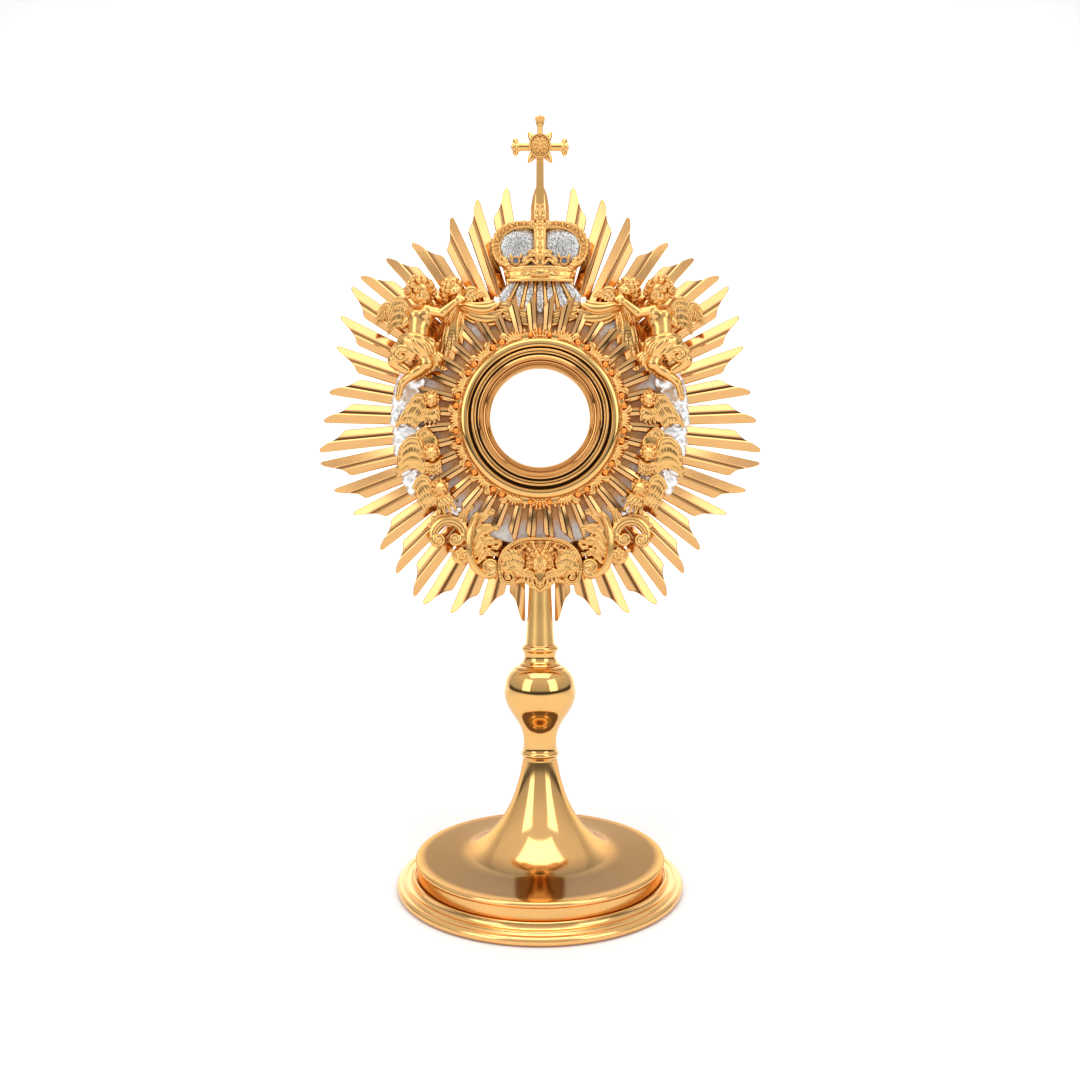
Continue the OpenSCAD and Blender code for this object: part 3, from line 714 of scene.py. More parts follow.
def child_head(clay, spot, seed, curls=64):
    """A calm child's face on plain proportions: eyes half way down, with curls round it."""
    s = spot.size

    def lump(x, y, z, r, soft=0.12, cut=False):
        radii = (r * s,) * 3 if isinstance(r, float) else tuple(v * s for v in r)
        clay.egg(spot(x, y, z), radii, spot.turn, soft * s, cut)

    def line(*points, r, end=None, soft=0.05, cut=False):
        for a, b in zip(points, points[1:]):
            clay.rod(spot(*a), spot(*b), r * s, (end or r) * s, soft * s, cut)

    lump(0, 0.10, 0.0, 0.88)
    lump(0, -0.28, 0.24, (0.62, 0.60, 0.58), 0.25)
    for side in SIDES:
        lump(side * 0.36, -0.34, 0.56, 0.29, 0.2)
        lump(side * 0.30, 0.22, 0.62, (0.30, 0.20, 0.20), 0.2)
        lump(side * 0.31, -0.02, 0.92, (0.20, 0.10, 0.14), 0.12, cut=True)
    lump(0, -0.76, 0.52, 0.22, 0.18)
    for side in SIDES:
        lump(side * 0.31, -0.03, 0.69, 0.145, 0.02)
        lid = ((0.47, -0.01, 0.68), (0.31, 0.085, 0.82), (0.15, -0.01, 0.76))
        under = ((0.45, -0.08, 0.68), (0.31, -0.14, 0.78), (0.17, -0.07, 0.75))
        brow = ((0.50, 0.18, 0.68), (0.30, 0.26, 0.84), (0.10, 0.20, 0.88))
        for points, r, soft in ((lid, 0.036, 0.02), (under, 0.028, 0.02), (brow, 0.04, 0.08)):
            line(*((side * x, y, z) for x, y, z in points), r=r, soft=soft)
        lump(side * 0.095, -0.30, 0.92, 0.07, 0.05)
        lump(side * 0.86, -0.08, 0.0, (0.10, 0.20, 0.14), 0.06)
    line((0, 0.12, 0.84), (0, -0.26, 1.0), r=0.065, end=0.11, soft=0.12)
    line((-0.20, -0.52, 0.80), (-0.07, -0.46, 0.90), (0, -0.48, 0.91), (0.07, -0.46, 0.90),
         (0.20, -0.52, 0.80), r=0.045)
    line((-0.14, -0.59, 0.82), (0, -0.61, 0.88), (0.14, -0.59, 0.82), r=0.055)
    line((-0.19, -0.53, 0.86), (0, -0.535, 0.96), (0.19, -0.53, 0.86), r=0.018, soft=0.02, cut=True)
    curly_hair(clay, spot, random.Random(seed), curls)


def curly_hair(clay, spot, dice, curls):
    """Coils of hair spread evenly over the skull, clear of the face and the neck."""
    s = spot.size
    golden = math.pi * (3 - math.sqrt(5))
    for i in range(curls):
        y = 1 - 2 * (i + 0.5) / curls
        ring = math.sqrt(1 - y * y)
        out = np.array((ring * math.sin(golden * i), y, ring * math.cos(golden * i)))
        if out[2] > 0.34 and y < 0.62 - 0.30 * abs(out[0]) and abs(out[0]) < 0.80 or y < -0.60:
            continue
        centre = out * (0.96 + dice.uniform(-0.03, 0.06)) + (0, 0.10, 0)
        size = dice.uniform(0.19, 0.25)
        clay.egg(spot(*centre), (size * s,) * 3, spot.turn, 0.06 * s)
        # each curl is a coil of hair laid on its own small mound
        across = np.cross(out, (0.3, 1, 0.2))
        across /= np.linalg.norm(across)
        along = np.cross(out, across)
        start = dice.uniform(0, 6.28)
        hand = dice.choice(SIDES)
        coil = []
        for k in range(10):
            t = k / 9
            w = start + hand * 8.6 * t
            r = size * (0.92 - 0.78 * t)
            round_it = (across * math.cos(w) + along * math.sin(w)) * r
            coil.append(spot(*(centre + out * size * (0.55 + 0.50 * t) + round_it)))
        clay.chain(coil, size * 0.24 * s, 0.015 * s)


def feather(clay, base, angle, length, width, thick):
    """One feather: a flat blade that overlaps its neighbour, with a raised quill and cut barbs."""
    a = math.radians(angle)
    along = np.array((math.cos(a), math.sin(a), 0.0))
    side = np.array((-math.sin(a), math.cos(a), 0.0))
    base = np.array(base, float)
    clay.egg(base + along * length * 0.5, (length * 0.52, width * 0.56, thick), angle, 0.06)
    clay.rod(base + along * length * 0.1 + (0, 0, thick * 0.9),
             base + along * length * 0.92 + (0, 0, thick * 0.55),
             0.30, 0.16, 0.1)
    for i in range(3, 10, 2):
        p = base + along * length * i / 10 + (0, 0, thick * 0.92)
        for hand in SIDES:
            tip = p + along * width * 0.32 + side * hand * width * 0.42 - (0, 0, thick * 0.35)
            clay.rod(p, tip, 0.13, 0.10, 0.06, cut=True)


def wing(clay, edge, depth, lengths, start_angle, end_angle, width=2.6, thick=1.3):
    """Rows of feathers that hang from a leading edge of (x, y) points, long ones under short ones."""
    line = curve(edge, 40)
    run = sum(float(np.linalg.norm(b - a)) for a, b in zip(line, line[1:]))
    count = max(4, int(run / (width * 0.74)))
    last = len(lengths) - 1
    for row, length in enumerate(lengths):
        for i in range(count):
            t = (i + (0.5 if row % 2 else 0.0)) / count
            p = line[min(39, int(t * 39))]
            angle = start_angle + (end_angle - start_angle) * t
            a = math.radians(angle)
            push = 0.0 if row == last else lengths[row + 1] * 0.30
            base = (p[0] + push * math.cos(a), p[1] + push * math.sin(a), depth - (last - row))
            feather(clay, base, angle, length * (0.86 + 0.14 * math.sin(math.pi * t)), width, thick)
    clay.tube([(x, y, depth + 0.4) for x, y in edge], [1.2, 1.9, 1.5, 1.0], 0.4)


def pleats(clay, top, foot, count, bulge, radius, seed):
    """Folds of cloth that run from one line to another."""
    dice = random.Random(seed)
    for i, (a, b) in enumerate(zip(curve(top, count), curve(foot, count))):
        lift = bulge * (1.0 if i % 2 else 0.55) * dice.uniform(0.8, 1.2)
        sway = dice.uniform(-1.2, 1.2)
        one = a + (b - a) * 0.33 + (sway, 0, lift)
        two = a + (b - a) * 0.68 + (-sway, 0, lift * 0.8)
        r = radius * dice.uniform(0.8, 1.2)
        clay.tube([a, one, two, b], [r * 0.7, r * 1.1, r * 1.1, r * 0.55], 0.22, flat=0.85, count=20)


def angel_body(clay):
    clay.egg((-92.8, 77, 18.6), (9.0, 9.2, 6.8), 12, 1)
    clay.egg((-94.4, 68.5, 19.4), (7.4, 8.2, 6.6), 6, 2.5)
    clay.egg((-94.4, 63.6, 20.6), (7.2, 6.4, 6.4), 0, 2)
    clay.egg((-96, 57.5, 18.6), (9.4, 7.2, 7.0), 0, 2)
    clay.egg((-89.8, 79.8, 23.4), (3.8, 3.2, 2.4), 0, 1.6)
    clay.egg((-96.6, 79.2, 22.4), (3.6, 3.0, 2.4), 0, 1.6)
    clay.rod((-93.4, 77, 26.2), (-93.9, 69.5, 27.0), 0.5, 0.4, 0.8, cut=True)
    clay.egg((-94.0, 64.4, 27.6), (0.8, 1.0, 1.0), 0, 0.5, cut=True)
    # arms
    clay.egg((-88.6, 83.6, 19.5), (4.9, 4.4, 4.6), 0, 2)
    clay.egg((-98.6, 82.6, 17.0), (4.4, 4.0, 4.2), 0, 2)
    clay.rod((-87.6, 83, 20), (-75.5, 79.6, 24), 4.1, 3.0, 1.2)
    clay.rod((-75.5, 79.8, 24), (-66, 88.2, 22.8), 3.2, 2.1, 0.8)
    clay.egg((-63.6, 90.6, 22.3), (2.6, 2.2, 1.9), 40, 0.6)
    for finger in range(4):
        x = -64.4 + finger * 1.3
        clay.rod((x, 91.4 - finger * 0.3, 22.8), (x + 1.9, 94.6 - finger * 1.1, 22.0), 0.85, 0.65, 0.25)
    clay.rod((-64.6, 89.8, 23.4), (-61.4, 88.6, 23.6), 0.9, 0.7, 0.3)
    clay.rod((-99.5, 82, 16), (-105, 74, 15), 3.5, 2.9, 1.2)
    # legs
    clay.rod((-100.5, 56, 18.5), (-113, 44.5, 20.5), 6.2, 4.8, 1.4)
    clay.rod((-113, 43, 20), (-99.5, 34.0, 17.5), 4.4, 3.1, 0.8)
    clay.rod((-93.5, 54, 20), (-87.5, 42, 22), 6.0, 4.8, 1.6)
    clay.egg((-87.8, 40.6, 23.2), (4.6, 4.4, 4.0), 0, 1.2)
    clay.rod((-88, 40.5, 21), (-103.5, 29.8, 19.5), 4.5, 2.8, 1.0)
    clay.egg((-97, 35, 20.6), (5.2, 3.4, 3.6), 34, 1.2)
    clay.egg((-106.4, 27.6, 19.4), (3.6, 2.7, 2.7), 30, 0.9)
    clay.rod((-107.6, 26, 19.2), (-110, 17, 18.6), 2.5, 1.8, 0.8)
    for toe in range(4):
        clay.egg((-111.5 + toe * 1.0, 15.0 + toe * 0.35, 18.7), (0.68, 1.0, 0.8), 0, 0.2)
    clay.rod((-91, 84, 19), (-91.6, 95, 18.4), 4.1, 3.6, 1.5)


def angel_cloth(clay):
    # round the hips
    pleats(clay, [(-111, 55, 17), (-109, 60, 20), (-103, 63.5, 23)],
           [(-100, 44, 22), (-96, 49, 25.5), (-88, 54.5, 25)], 8, 2.2, 1.7, 5)
    pleats(clay, [(-104, 63, 22), (-96, 61.5, 26), (-86, 60.5, 22.5)],
           [(-92, 47, 26), (-86, 48, 26), (-80, 54, 18)], 8, 1.6, 1.6, 6)
    clay.tube([(-108, 62, 18), (-101, 62.5, 25), (-92, 60.2, 27), (-84, 60.8, 21)],
              [1.6, 2.0, 1.8, 1.4], 0.3, count=26)
    clay.tube([(-106, 60, 19), (-100, 60, 25.6), (-91, 57.4, 27.4), (-83, 58, 21)],
              [0.9, 1.3, 1.2, 0.9], 0.25, count=26)
    # over the knee, and down on both sides
    pleats(clay, [(-112, 57, 17), (-106, 57, 21)], [(-116, 41, 17), (-112, 37.5, 17.5)], 5, 2.4, 1.6, 7)
    clay.tube([(-101, 52, 25), (-108, 53, 26), (-112.5, 48, 25.5), (-108, 43.5, 25), (-103, 45.5, 24.6)],
              [1.2, 1.5, 1.6, 1.4, 0.9], 0.25, count=30)
    clay.tube([(-102, 49, 25), (-107, 50, 26), (-109, 47.4, 26), (-106, 46, 25.6)],
              [0.8, 1.1, 1.1, 0.8], 0.2, count=22)
    pleats(clay, [(-86, 56, 22), (-80, 57.5, 18)], [(-97, 30, 17), (-84, 38, 15.5)], 6, 2.6, 1.7, 8)
    pleats(clay, [(-84.5, 50, 20), (-81, 52, 18)], [(-80, 41, 17), (-76.5, 46, 15)], 3, 1.6, 1.4, 9)


def build_angel():
    clay = Clay((-124, 8, 4), (-52, 96, 34), 0.4)
    angel_body(clay)
    angel_cloth(clay)
    # two pads behind, where it is screwed on
    clay.rod((-94, 75, 5), (-94, 75, 16), 4.6, 4.6, 1.0)
    clay.rod((-99, 54, 5), (-99, 54, 16), 4.6, 4.6, 1.0)
    clay.grow(0.55)
    cast_pair("angel_cast", clay, "angel")
    head = Clay((-110, 83, 5), (-78, 113, 34), 0.28)
    child_head(head, Spot((-93.4, 97.0, 18.8), 10.4, look=52, nod=14, turn=-6), 3, 60)
    cast_pair("angel_head", head, "angel")


def build_angel_wings():
    clay = Clay((-132, 60, 4), (-92, 98, 22), 0.3)
    outer = [(-115.5, 86), (-119.5, 91), (-124.5, 89), (-127.5, 84.5)]
    inner = [(-99.5, 77), (-102.0, 88), (-108.0, 93.5), (-114, 91.5), (-118.0, 83)]
    wing(clay, outer, 9.5, [11, 8, 4.5], -78, -108, 2.4, 1.1)
    wing(clay, inner, 15, [18, 14, 10, 6], -86, -98, 3.1)
    clay.egg((-109, 81, 9.5), (8.0, 10.0, 4.0), 0, 1.2)
    clay.rod((-101, 82, 9), (-97, 78, 9), 3.2, 3.2, 1)
    clay.cut_behind(5)
    cast_pair("wings_cast", clay, "angel_wings")


def build_companion():
    clay = Clay((-80, 84, 2), (-42, 114, 26), 0.3)
    child_head(clay, Spot((-68.4, 99.8, 12.8), 8.6, look=42, nod=-8, turn=10), 11, 70)
    wing(clay, [(-59.5, 96), (-57, 101.5), (-52.5, 102.5), (-49, 100)], 10, [8, 5.5], -60, -20, 2.6, 1.1)
    clay.rod((-61, 96, 8), (-53, 99.5, 7.5), 2.6, 1.6, 0.8)
    clay.rod((-69, 92, 8), (-72, 85, 8), 3.8, 3.0, 1)
    clay.grow(0.45)
    clay.cut_behind(2.3)
    cast_pair("companion_cast", clay, "angel_companion")


def build_cherubs():
    clay = Clay((-116, -84, 11), (-62, 24, 24), 0.33)
    wing(clay, [(-89, 12), (-92.0, 17), (-98, 16), (-102.5, 9)], 16, [20, 15, 9], -114, -124, 2.9, 1.2)
    long_to_short = [19, 15, 11, 6]
    wing(clay, [(-91.5, -26), (-94.5, -18), (-101, -16.5), (-107, -21), (-109.5, -27)], 16.4, long_to_short,
         -88, -98, 3.0, 1.2)
    wing(clay, [(-85, -52), (-89, -46.5), (-95, -47.5), (-98.6, -54)], 16, long_to_short, -60, -72, 3.0, 1.2)
    # inner wings and breast feathers
    wing(clay, [(-90, 6), (-85, 7), (-80, 9)], 14.4, [9, 6], -112, -62, 2.5, 1.0)
    wing(clay, [(-94, -20), (-95.5, -13), (-91, -8.5), (-86.5, -11)], 14.8, [10, 6.5], -74, -44, 2.6, 1.1)
    wing(clay, [(-89, -35), (-84, -36), (-78.5, -33)], 14.4, [8, 5.5], -112, -62, 2.5, 1.0)
    wing(clay, [(-80, -62), (-75.5, -60.5), (-71, -59)], 15, [12, 8], -84, -48, 2.6, 1.1)
    for x, y, rx, ry in ((-97, 5, 9, 8), (-100, -29, 8.5, 10), (-90, -58, 8, 9), (-86, -18, 6, 6),
                         (-77, -64, 6, 5), (-84, 4, 5, 5)):
        clay.egg((x, y, 12.6), (rx, ry, 2.4), 30, 0.8)
    clay.grow(0.2)
    clay.cut_behind(12)
    cast_pair("cherubs_cast", clay, "cherubs")
    spots = [((-85.0, 13.6), 5.7, 30, -8), ((-84.8, -28.0), 6.2, 30, 6), ((-78.0, -55.6), 6.4, 26, 22)]
    for i, ((x, y), size, look, turn) in enumerate(spots):
        head = Clay((x - 9.5, y - 9.5, 12), (x + 9.5, y + 9.5, 28), 0.24)
        child_head(head, Spot((x, y, 18.4), size, look=look, nod=4, turn=turn), 20 + i, 56)
        head.cut_behind(12.2)
        cast_pair(f"cherub_head_{i + 1}", head, "cherubs")


def build_clouds():
    """A bank of silver cloud on an arc about the window: a scalloped rim, soft mounds and shallow curls."""
    dice = random.Random(51)
    clay = Clay((-128, -82, 2), (-54, 50, 18), 0.42)

    def spot(radius, angle, depth):
        return (-radius * math.cos(math.radians(angle)), radius * math.sin(math.radians(angle)), depth)

    # the scalloped rim
    for i in range(13):
        a = 19.5 - 4.0 * i
        size = dice.uniform(4.6, 6.0)
        place = spot(113.6 + dice.uniform(-1.4, 0.8), a, 7.6)
        clay.egg(place, (size, size * 0.92, 4.4), dice.uniform(0, 90), 1.2)
    # mounds inside it
    for radius, count, size in ((107, 9, 7.0), (100, 7, 6.6)):
        for i in range(count):
            a = 17.0 - 44.0 * i / (count - 1)
            clay.egg(spot(radius + dice.uniform(-1, 1), a, 6.6),
                     (size, size * 1.1, 4.6 + dice.uniform(-0.4, 0.5)), 0, 2.0)
    # the nearest cloud, between the lowest cherub and the scroll
    for i in range(5):
        clay.egg((-98 + 2.2 * i, -50.5 - 1.4 * i, 7.0), (5.4, 4.6, 4.2), 20 * i, 1.2)
    # a patch that shows between the lowest cherub and the fronds
    for x, y, size in ((-71, -71.5, 4.4), (-65, -73.5, 5.2), (-59.5, -71, 4.4)):
        clay.egg((x, y, 6.4), (size, size * 0.85, 3.2), 0, 1.2)
    # shallow curls
    for i in range(9):
        a = 17.5 - 5.2 * i + dice.uniform(-1, 1)
        place = spot(113.0 if i % 2 else 107.5, a, 10.6)
        start = dice.uniform(0, 360)
        clay.spiral(place, start, 1.0, 3.9, 0.8, 1.15, 0.7, dice.choice(SIDES), 1.0, rise=0.3)
    clay.cut_behind(SEAT)
    cast_pair("cloud_cast", clay, "clouds", silver_bright)


def frond(clay, points, width, depth, hand=1, lobes=4):
    """An acanthus leaf: ridges that flow along a curve, rounded lobes on its outer edge and a rolled tip."""
    count = 22
    line = curve([(x, y, depth) for x, y in points], count)
    swell = [math.sin(math.pi * (0.14 + 0.80 * i / (count - 1))) ** 0.8 for i in range(count)]
    side = []
    for i in range(count):
        d = line[min(i + 1, count - 1)] - line[max(i - 1, 0)]
        side.append(np.array((-d[1], d[0], 0)) / math.hypot(d[0], d[1]) * hand)
    for ridge in range(4):
        offset = (ridge - 1.5) / 3
        rise = (0, 0, 0.9 * (ridge % 2))
        run = [p + across * offset * width * size + rise for p, across, size in zip(line, side, swell)]
        for i in range(count - 1):
            clay.rod(run[i], run[i + 1], width * 0.20 * swell[i], width * 0.20 * swell[i + 1], 0.18, flat=1.1)
    for lobe in range(lobes):
        i = int((0.22 + 0.62 * lobe / max(lobes - 1, 1)) * (count - 1))
        d = line[i + 1] - line[i - 1]
        lean = math.degrees(math.atan2(d[1], d[0])) + hand * 52
        reach = width * (0.62 - 0.07 * lobe)
        out = np.array((math.cos(math.radians(lean)), math.sin(math.radians(lean)), 0))
        centre = line[i] + side[i] * width * 0.42 * swell[i] + out * reach * 0.45
        clay.egg(centre, (reach * 0.78, width * 0.30, 1.5), lean, 0.35)
        root, tip = centre - out * reach * 0.4 + (0, 0, 1.6), centre + out * reach * 0.55 + (0, 0, 1.2)
        clay.rod(root, tip, 0.26, 0.18, 0.15, cut=True)
    d = line[-1] - line[-2]
    lean = math.degrees(math.atan2(d[1], d[0])) + hand * 60
    clay.spiral(line[-1] - side[-1] * width * 0.26 + (0, 0, 0.6), lean, 0.9, width * 0.34, 0.4, width * 0.16,
                0.5,
                -hand, 0.25, rise=0.8)


SCROLL = (-71.5, -92.5)


def build_acanthus():
    clay = Clay((-96, -138, 2), (-22, -56, 20), 0.42)
    # C scroll, open in the middle, with a curl at each end
    for line, depth, thick, soft, count in ((arc(SCROLL, 13.2, 205, -8, 14), 9.4, (2.0, 2.7), 0.3, 30),
                                            (arc(SCROLL, 10.6, 198, 0, 12), 10.6, (0.9, 1.3), 0.2, 26),
                                            (arc(SCROLL, 15.0, 195, 0, 12), 10.4, (0.7, 1.1), 0.2, 26)):
        clay.tube([(x, y, depth) for x, y in line], thick + thick[::-1], soft, count=count)
    curls = ((-79.6, -94.6, 165, 5.6, 1), (-66.4, -94.0, 20, 5.4, -1))
    for x, y, start, radius, hand in curls:
        clay.spiral((x, y, 10.4), start, 1.15, radius, 1.3, 2.1, 1.4, hand, 0.3, rise=1.2)
    for x, y, *_ in curls:
        clay.egg((x, y, 12), (1.5, 1.5, 1.6), 0, 0.2)
    frond(clay, [(-84, -90), (-83, -82), (-76, -77.5), (-67, -78)], 5.0, 9.0, 1, 4)
    # main stem, which ends in the big volute
    stem = [(-50.5, -76), (-53.6, -86), (-55.3, -97), (-54.6, -108), (-50.4, -117.5), (-43.5, -122.6)]
    for shift, depth, thick, soft in ((0, 10.2, [1.6, 2.6, 3.0, 3.0, 2.6], 0.3),
                                      (1.2, 12.7, [0.6, 0.9, 0.9, 0.8], 0.2),
                                      (-2.0, 11.7, [0.5, 0.7, 0.7, 0.6], 0.2)):
        clay.tube([(x + shift, y, depth) for x, y in stem], thick, soft, count=34)
    clay.spiral((-39.6, -116.6, 10.6), 245, 1.9, 7.2, 0.6, 2.4, 1.2, 1, 0.25, rise=1.6)
    clay.egg((-39.4, -116.4, 13), (1.5, 1.5, 1.4), 0, 0.2)
    for line, width, depth, hand, lobes in (
            ([(-54, -96), (-52, -83), (-46, -75), (-38, -74)], 6.2, 9.6, -1, 5),
            ([(-54, -103), (-49, -91), (-42, -85.5), (-34.5, -86.5)], 5.6, 9.6, -1, 5),
            ([(-52.5, -109), (-46.5, -99), (-40, -95.4), (-33, -97.5)], 5.0, 9.4, -1, 4),
            ([(-49, -113), (-44.5, -106.5), (-39.5, -104.2), (-34.5, -107)], 4.2, 9.2, -1, 3),
            ([(-55.5, -98), (-61, -86), (-60.5, -76), (-55.5, -69.5)], 5.2, 9.2, 1, 5),
            ([(-54.5, -106), (-60.5, -111), (-66, -109), (-68.5, -103.5)], 4.6, 9.2, -1, 3)):
        frond(clay, line, width, depth, hand, lobes)
    for x, y in ((-33.5, -101.5), (-36.4, -101.0), (-31.5, -98.8)):
        clay.egg((x, y, 11.6), (1.7, 1.7, 1.7), 0, 0.2)
    # small flower
    for i in range(5):
        a = math.radians(90 + i * 72)
        clay.egg((-62 + 3.1 * math.cos(a), -106 + 3.1 * math.sin(a), 10.8), (2.2, 2.0, 1.8), 0, 0.25)
    clay.egg((-62, -106, 12.4), (1.5, 1.5, 1.4), 0, 0.2)
    for x, y, rx, ry in ((-47, -98, 8, 14), (-57, -98, 5, 12), (-42, -116, 8, 8)):
        clay.egg((x, y, 6.2), (rx, ry, 2.0), 0, 0.6)
    clay.grow(0.35)
    clay.cut_behind(SEAT)
    cast_pair("acanthus_cast", clay, "acanthus")


def build_cartouche():
    plate = Clay((-40, -142, 6), (40, -88, 26), 0.42)
    for side in SIDES:
        # lobe with feathers
        plate.egg((side * 22.5, -115, 11.2), (9.6, 13.0, 3.0), side * 10, 1.0)
        for row, (length, top) in enumerate(((15, -107), (12, -103.5), (8, -100.5))):
            for i in range(7):
                x = side * (11.8 + i * 3.0)
                drop = abs(i - 3.2) * 1.1
                feather(plate, (x, top - drop, 12.6 + row * 0.9), -90 - side * (i - 2) * 5, length, 2.8, 1.2)
        # rim that rises to the middle and rolls up below
        rim = [(side * x, y) for x, y in bezier([(0, -94.6), (18, -92.6), (34, -101), (31.8, -120.5)], 7)]
        plate.tube([(x, y, 14.4) for x, y in rim], [1.3, 1.6, 1.6, 1.3], 0.3, count=34)
        plate.tube([(x * 0.94, y - 2.2, 13.2) for x, y in rim], [0.7, 0.9, 0.7], 0.3, count=34)
        plate.spiral((side * 24.4, -124.0, 13.8), 90 - side * 60, 1.5, 6.6, 1.0, 1.9, 1.1, -side, 0.3, 1.2)
        plate.egg((side * 24.4, -124.0, 15.2), (1.4, 1.4, 1.3), 0, 0.2)
        # curls beside the head
        curl = [(10, -100, 15.4), (14, -102.5, 16), (14.6, -108, 16), (12, -111.4, 16)]
        plate.tube([(side * x, y, z) for x, y, z in curl], [0.8, 1.1, 1.0, 0.7], 0.3, count=20)
        # scrolls that close the lower edge
        scroll = [(18, -128, 13.4), (11.5, -127, 14), (6.5, -131.5, 13.6), (0, -135.4, 12.8)]
        plate.tube([(side * x, y, z) for x, y, z in scroll], [1.5, 1.8, 1.6, 1.2], 0.4, count=22)
        for i in range(3):
            leaf = [(2.0, -134 + i * 3.0, 13.6), (6 + i * 1.6, -129 + i * 3.4, 15.2),
                    (10.5 + i * 1.2, -127.5 + i * 4.4, 14.4)]
            plate.tube([(side * x, y, z) for x, y, z in leaf], [0.7, 1.0, 0.6], 0.25, count=14)
    plate.egg((0, -113, 11), (24, 17, 2.8), 0, 1)
    for i in range(-4, 5):
        a = math.radians(i * 19)
        flute = [(rx * math.sin(a), -112 + ry * math.cos(a), z) for rx, ry,
                 z in ((9, 8, 13.4), (19, 15.5, 13.0))]
        plate.tube(flute, [1.2, 1.9], 0.3, count=8)
    plate.egg((0, -127, 11), (10, 8.4, 2.4), 0, 1)
    for side in SIDES:
        plate.rod((side * 29, -116, 8.8), (side * 29, -116, 11), 4, 4, 0.4)
    plate.cut_behind(8.9)
    cast("cartouche_cast", plate, ["cartouche"])
    head = Clay((-16, -132, 12), (16, -96, 34), 0.36)
    child_head(head, Spot((0, -112.5, 19.2), 8.6, nod=8), 41)
    for side in SIDES:
        edge = [(side * 5, -121), (side * 9, -118.5), (side * 12.5, -119)]
        wing(head, edge, 17, [9, 6], -90 - side * 20, -90 + side * 28, 2.3, 1.1)
    head.cut_behind(15)
    cast("cartouche_head", head, ["cartouche_cherub"])


def build_drapery():
    clay = Clay((-92, 30, 2), (-2, 104, 20), 0.42)
    # the cloth held up between the hand and the crown, and on behind the short rays
    lines = [([(-63, 92.5), (-52, 90), (-42, 90.5), (-34, 93)], 8.6),
             ([(-63.5, 90.5), (-52, 87), (-42, 86.5), (-33, 90.5)], 11.0),
             ([(-64, 89), (-52, 84), (-41, 82.5), (-30, 85.6)], 9.6),
             ([(-64.5, 87.5), (-53, 81), (-41, 78.8), (-29, 81)], 8.8),
             ([(-65, 86), (-54, 79), (-43, 76), (-32, 77.4)], 7.2),
             ([(-34, 93), (-27, 95), (-17, 91), (-3, 87)], 6.2),
             ([(-33, 90), (-25, 90), (-15, 86), (-3, 83)], 6.2),
             ([(-32, 86), (-24, 85), (-14, 81), (-3, 79)], 6.0),
             ([(-31, 82), (-22, 80), (-12, 77), (-3, 75)], 5.6)]
    for i, (points, depth) in enumerate(lines):
        lift = 1.4 if i in (1, 3) else 0.0
        shape = [(x, y, depth + (lift if 0 < k < 3 else 0)) for k, (x, y) in enumerate(points)]
        clay.tube(shape, [1.6, 2.5, 2.6, 1.5], 1.0, flat=0.8, count=26)
    # the end that falls behind the arm
    pleats(clay, [(-70, 86, 9), (-65, 88, 9.6), (-61, 84, 8.6)],
           [(-84, 44, 6.8), (-74, 40, 6.8), (-62, 60, 6.6)], 11, 1.8, 1.9, 14)
    clay.egg((-73, 66, 5.6), (8, 20, 1.8), -10, 0.8)
    clay.cut_behind(SEAT)
    cast_pair("drapery_cast", clay, "drapery")


# ---------- window and its rings ----------

def build_bezel():
    inner = [(38.8, 12.0), (38.6, 21.4)] + bead(39.7, 0.9, 22.6) + bead(41.7, 0.6, 22.1)
    inner += [(42.6, 21.2), (43.6, 21.6)] + bead(45.2, 1.2, 24.6) + [(46.8, 22.9), (48.0, 22.4), (48.4, 20.2),
                                                                     (48.4, 12.0)]
    lathe("window_bezel_inner", inner, gold_rose, [], on_head=True, sharp=50)
    outer = [(48.5, 12.0), (48.5, 19.8), (49.5, 20.0)] + bead(50.3, 0.7, 22.0) + bead(52.5, 1.0, 22.3)
    outer += [(53.7, 19.4), (53.9, 15.2), (55.7, 15.2), (55.9, 17.6), (56.5, 18.1), (59.0, 18.1)]
    outer += [(61.6, 17.5), (62.3, 16.6), (62.4, 12.0)]
    lathe("window_bezel", outer, gold_polished, ["luna_bezel"], on_head=True, sharp=50)


SHADE_SHEET = 0.22


def groove_shade_sheet(name, r0, r1, floor, top):
    """A dark sheet that lines a groove of the bezel: painted shade where the groove looks dark."""
    t = SHADE_SHEET
    outside = [(r0, top), (r0, floor), (r1, floor), (r1, top)]
    inside = [(r1 - t, top), (r1 - t, floor + t), (r0 + t, floor + t), (r0 + t, top)]
    lathe(name, outside + inside, painted_groove_shade, [], on_head=True)


def build_groove_shades():
    # dark sheets of painted shade in the bezel's grooves
    groove_shade_sheet("groove_shade_outer", 53.85, 55.75, 15.3, 17.6)
    groove_shade_sheet("groove_shade_middle", 48.45, 49.6, 20.1, 21.3)
    groove_shade_sheet("groove_shade_line", 50.95, 51.6, 21.0, 21.5)
    groove_shade_sheet("groove_shade_inner", 40.6, 41.3, 21.0, 21.5)


SHORT_PAIRS = 40
# Across half a short ray from its middle: (share of the half width, height above the back)
SHORT_HALF_SECTION = [(0.05, 1.2), (0.12, 3.3), (0.80, 2.6), (0.97, 1.5), (1.0, 0.0)]
SHORT_SECTION = [(-s, h) for s, h in SHORT_HALF_SECTION[::-1]] + SHORT_HALF_SECTION
SHORT_WIDTHS = [(64.0, 3.3), (74.0, 3.75), (84.0, 4.15)]
SHORT_TIP_HALF = 4.5
SHORT_TIP_FLAT = 0.45


def short_end(across):
    """How far out a pair reaches: a long slant over one bar and a shorter one over the other."""
    return 101.2 - 14.0 * across if across < 0.5 else 93.4 - 8.0 * (across - 0.5)


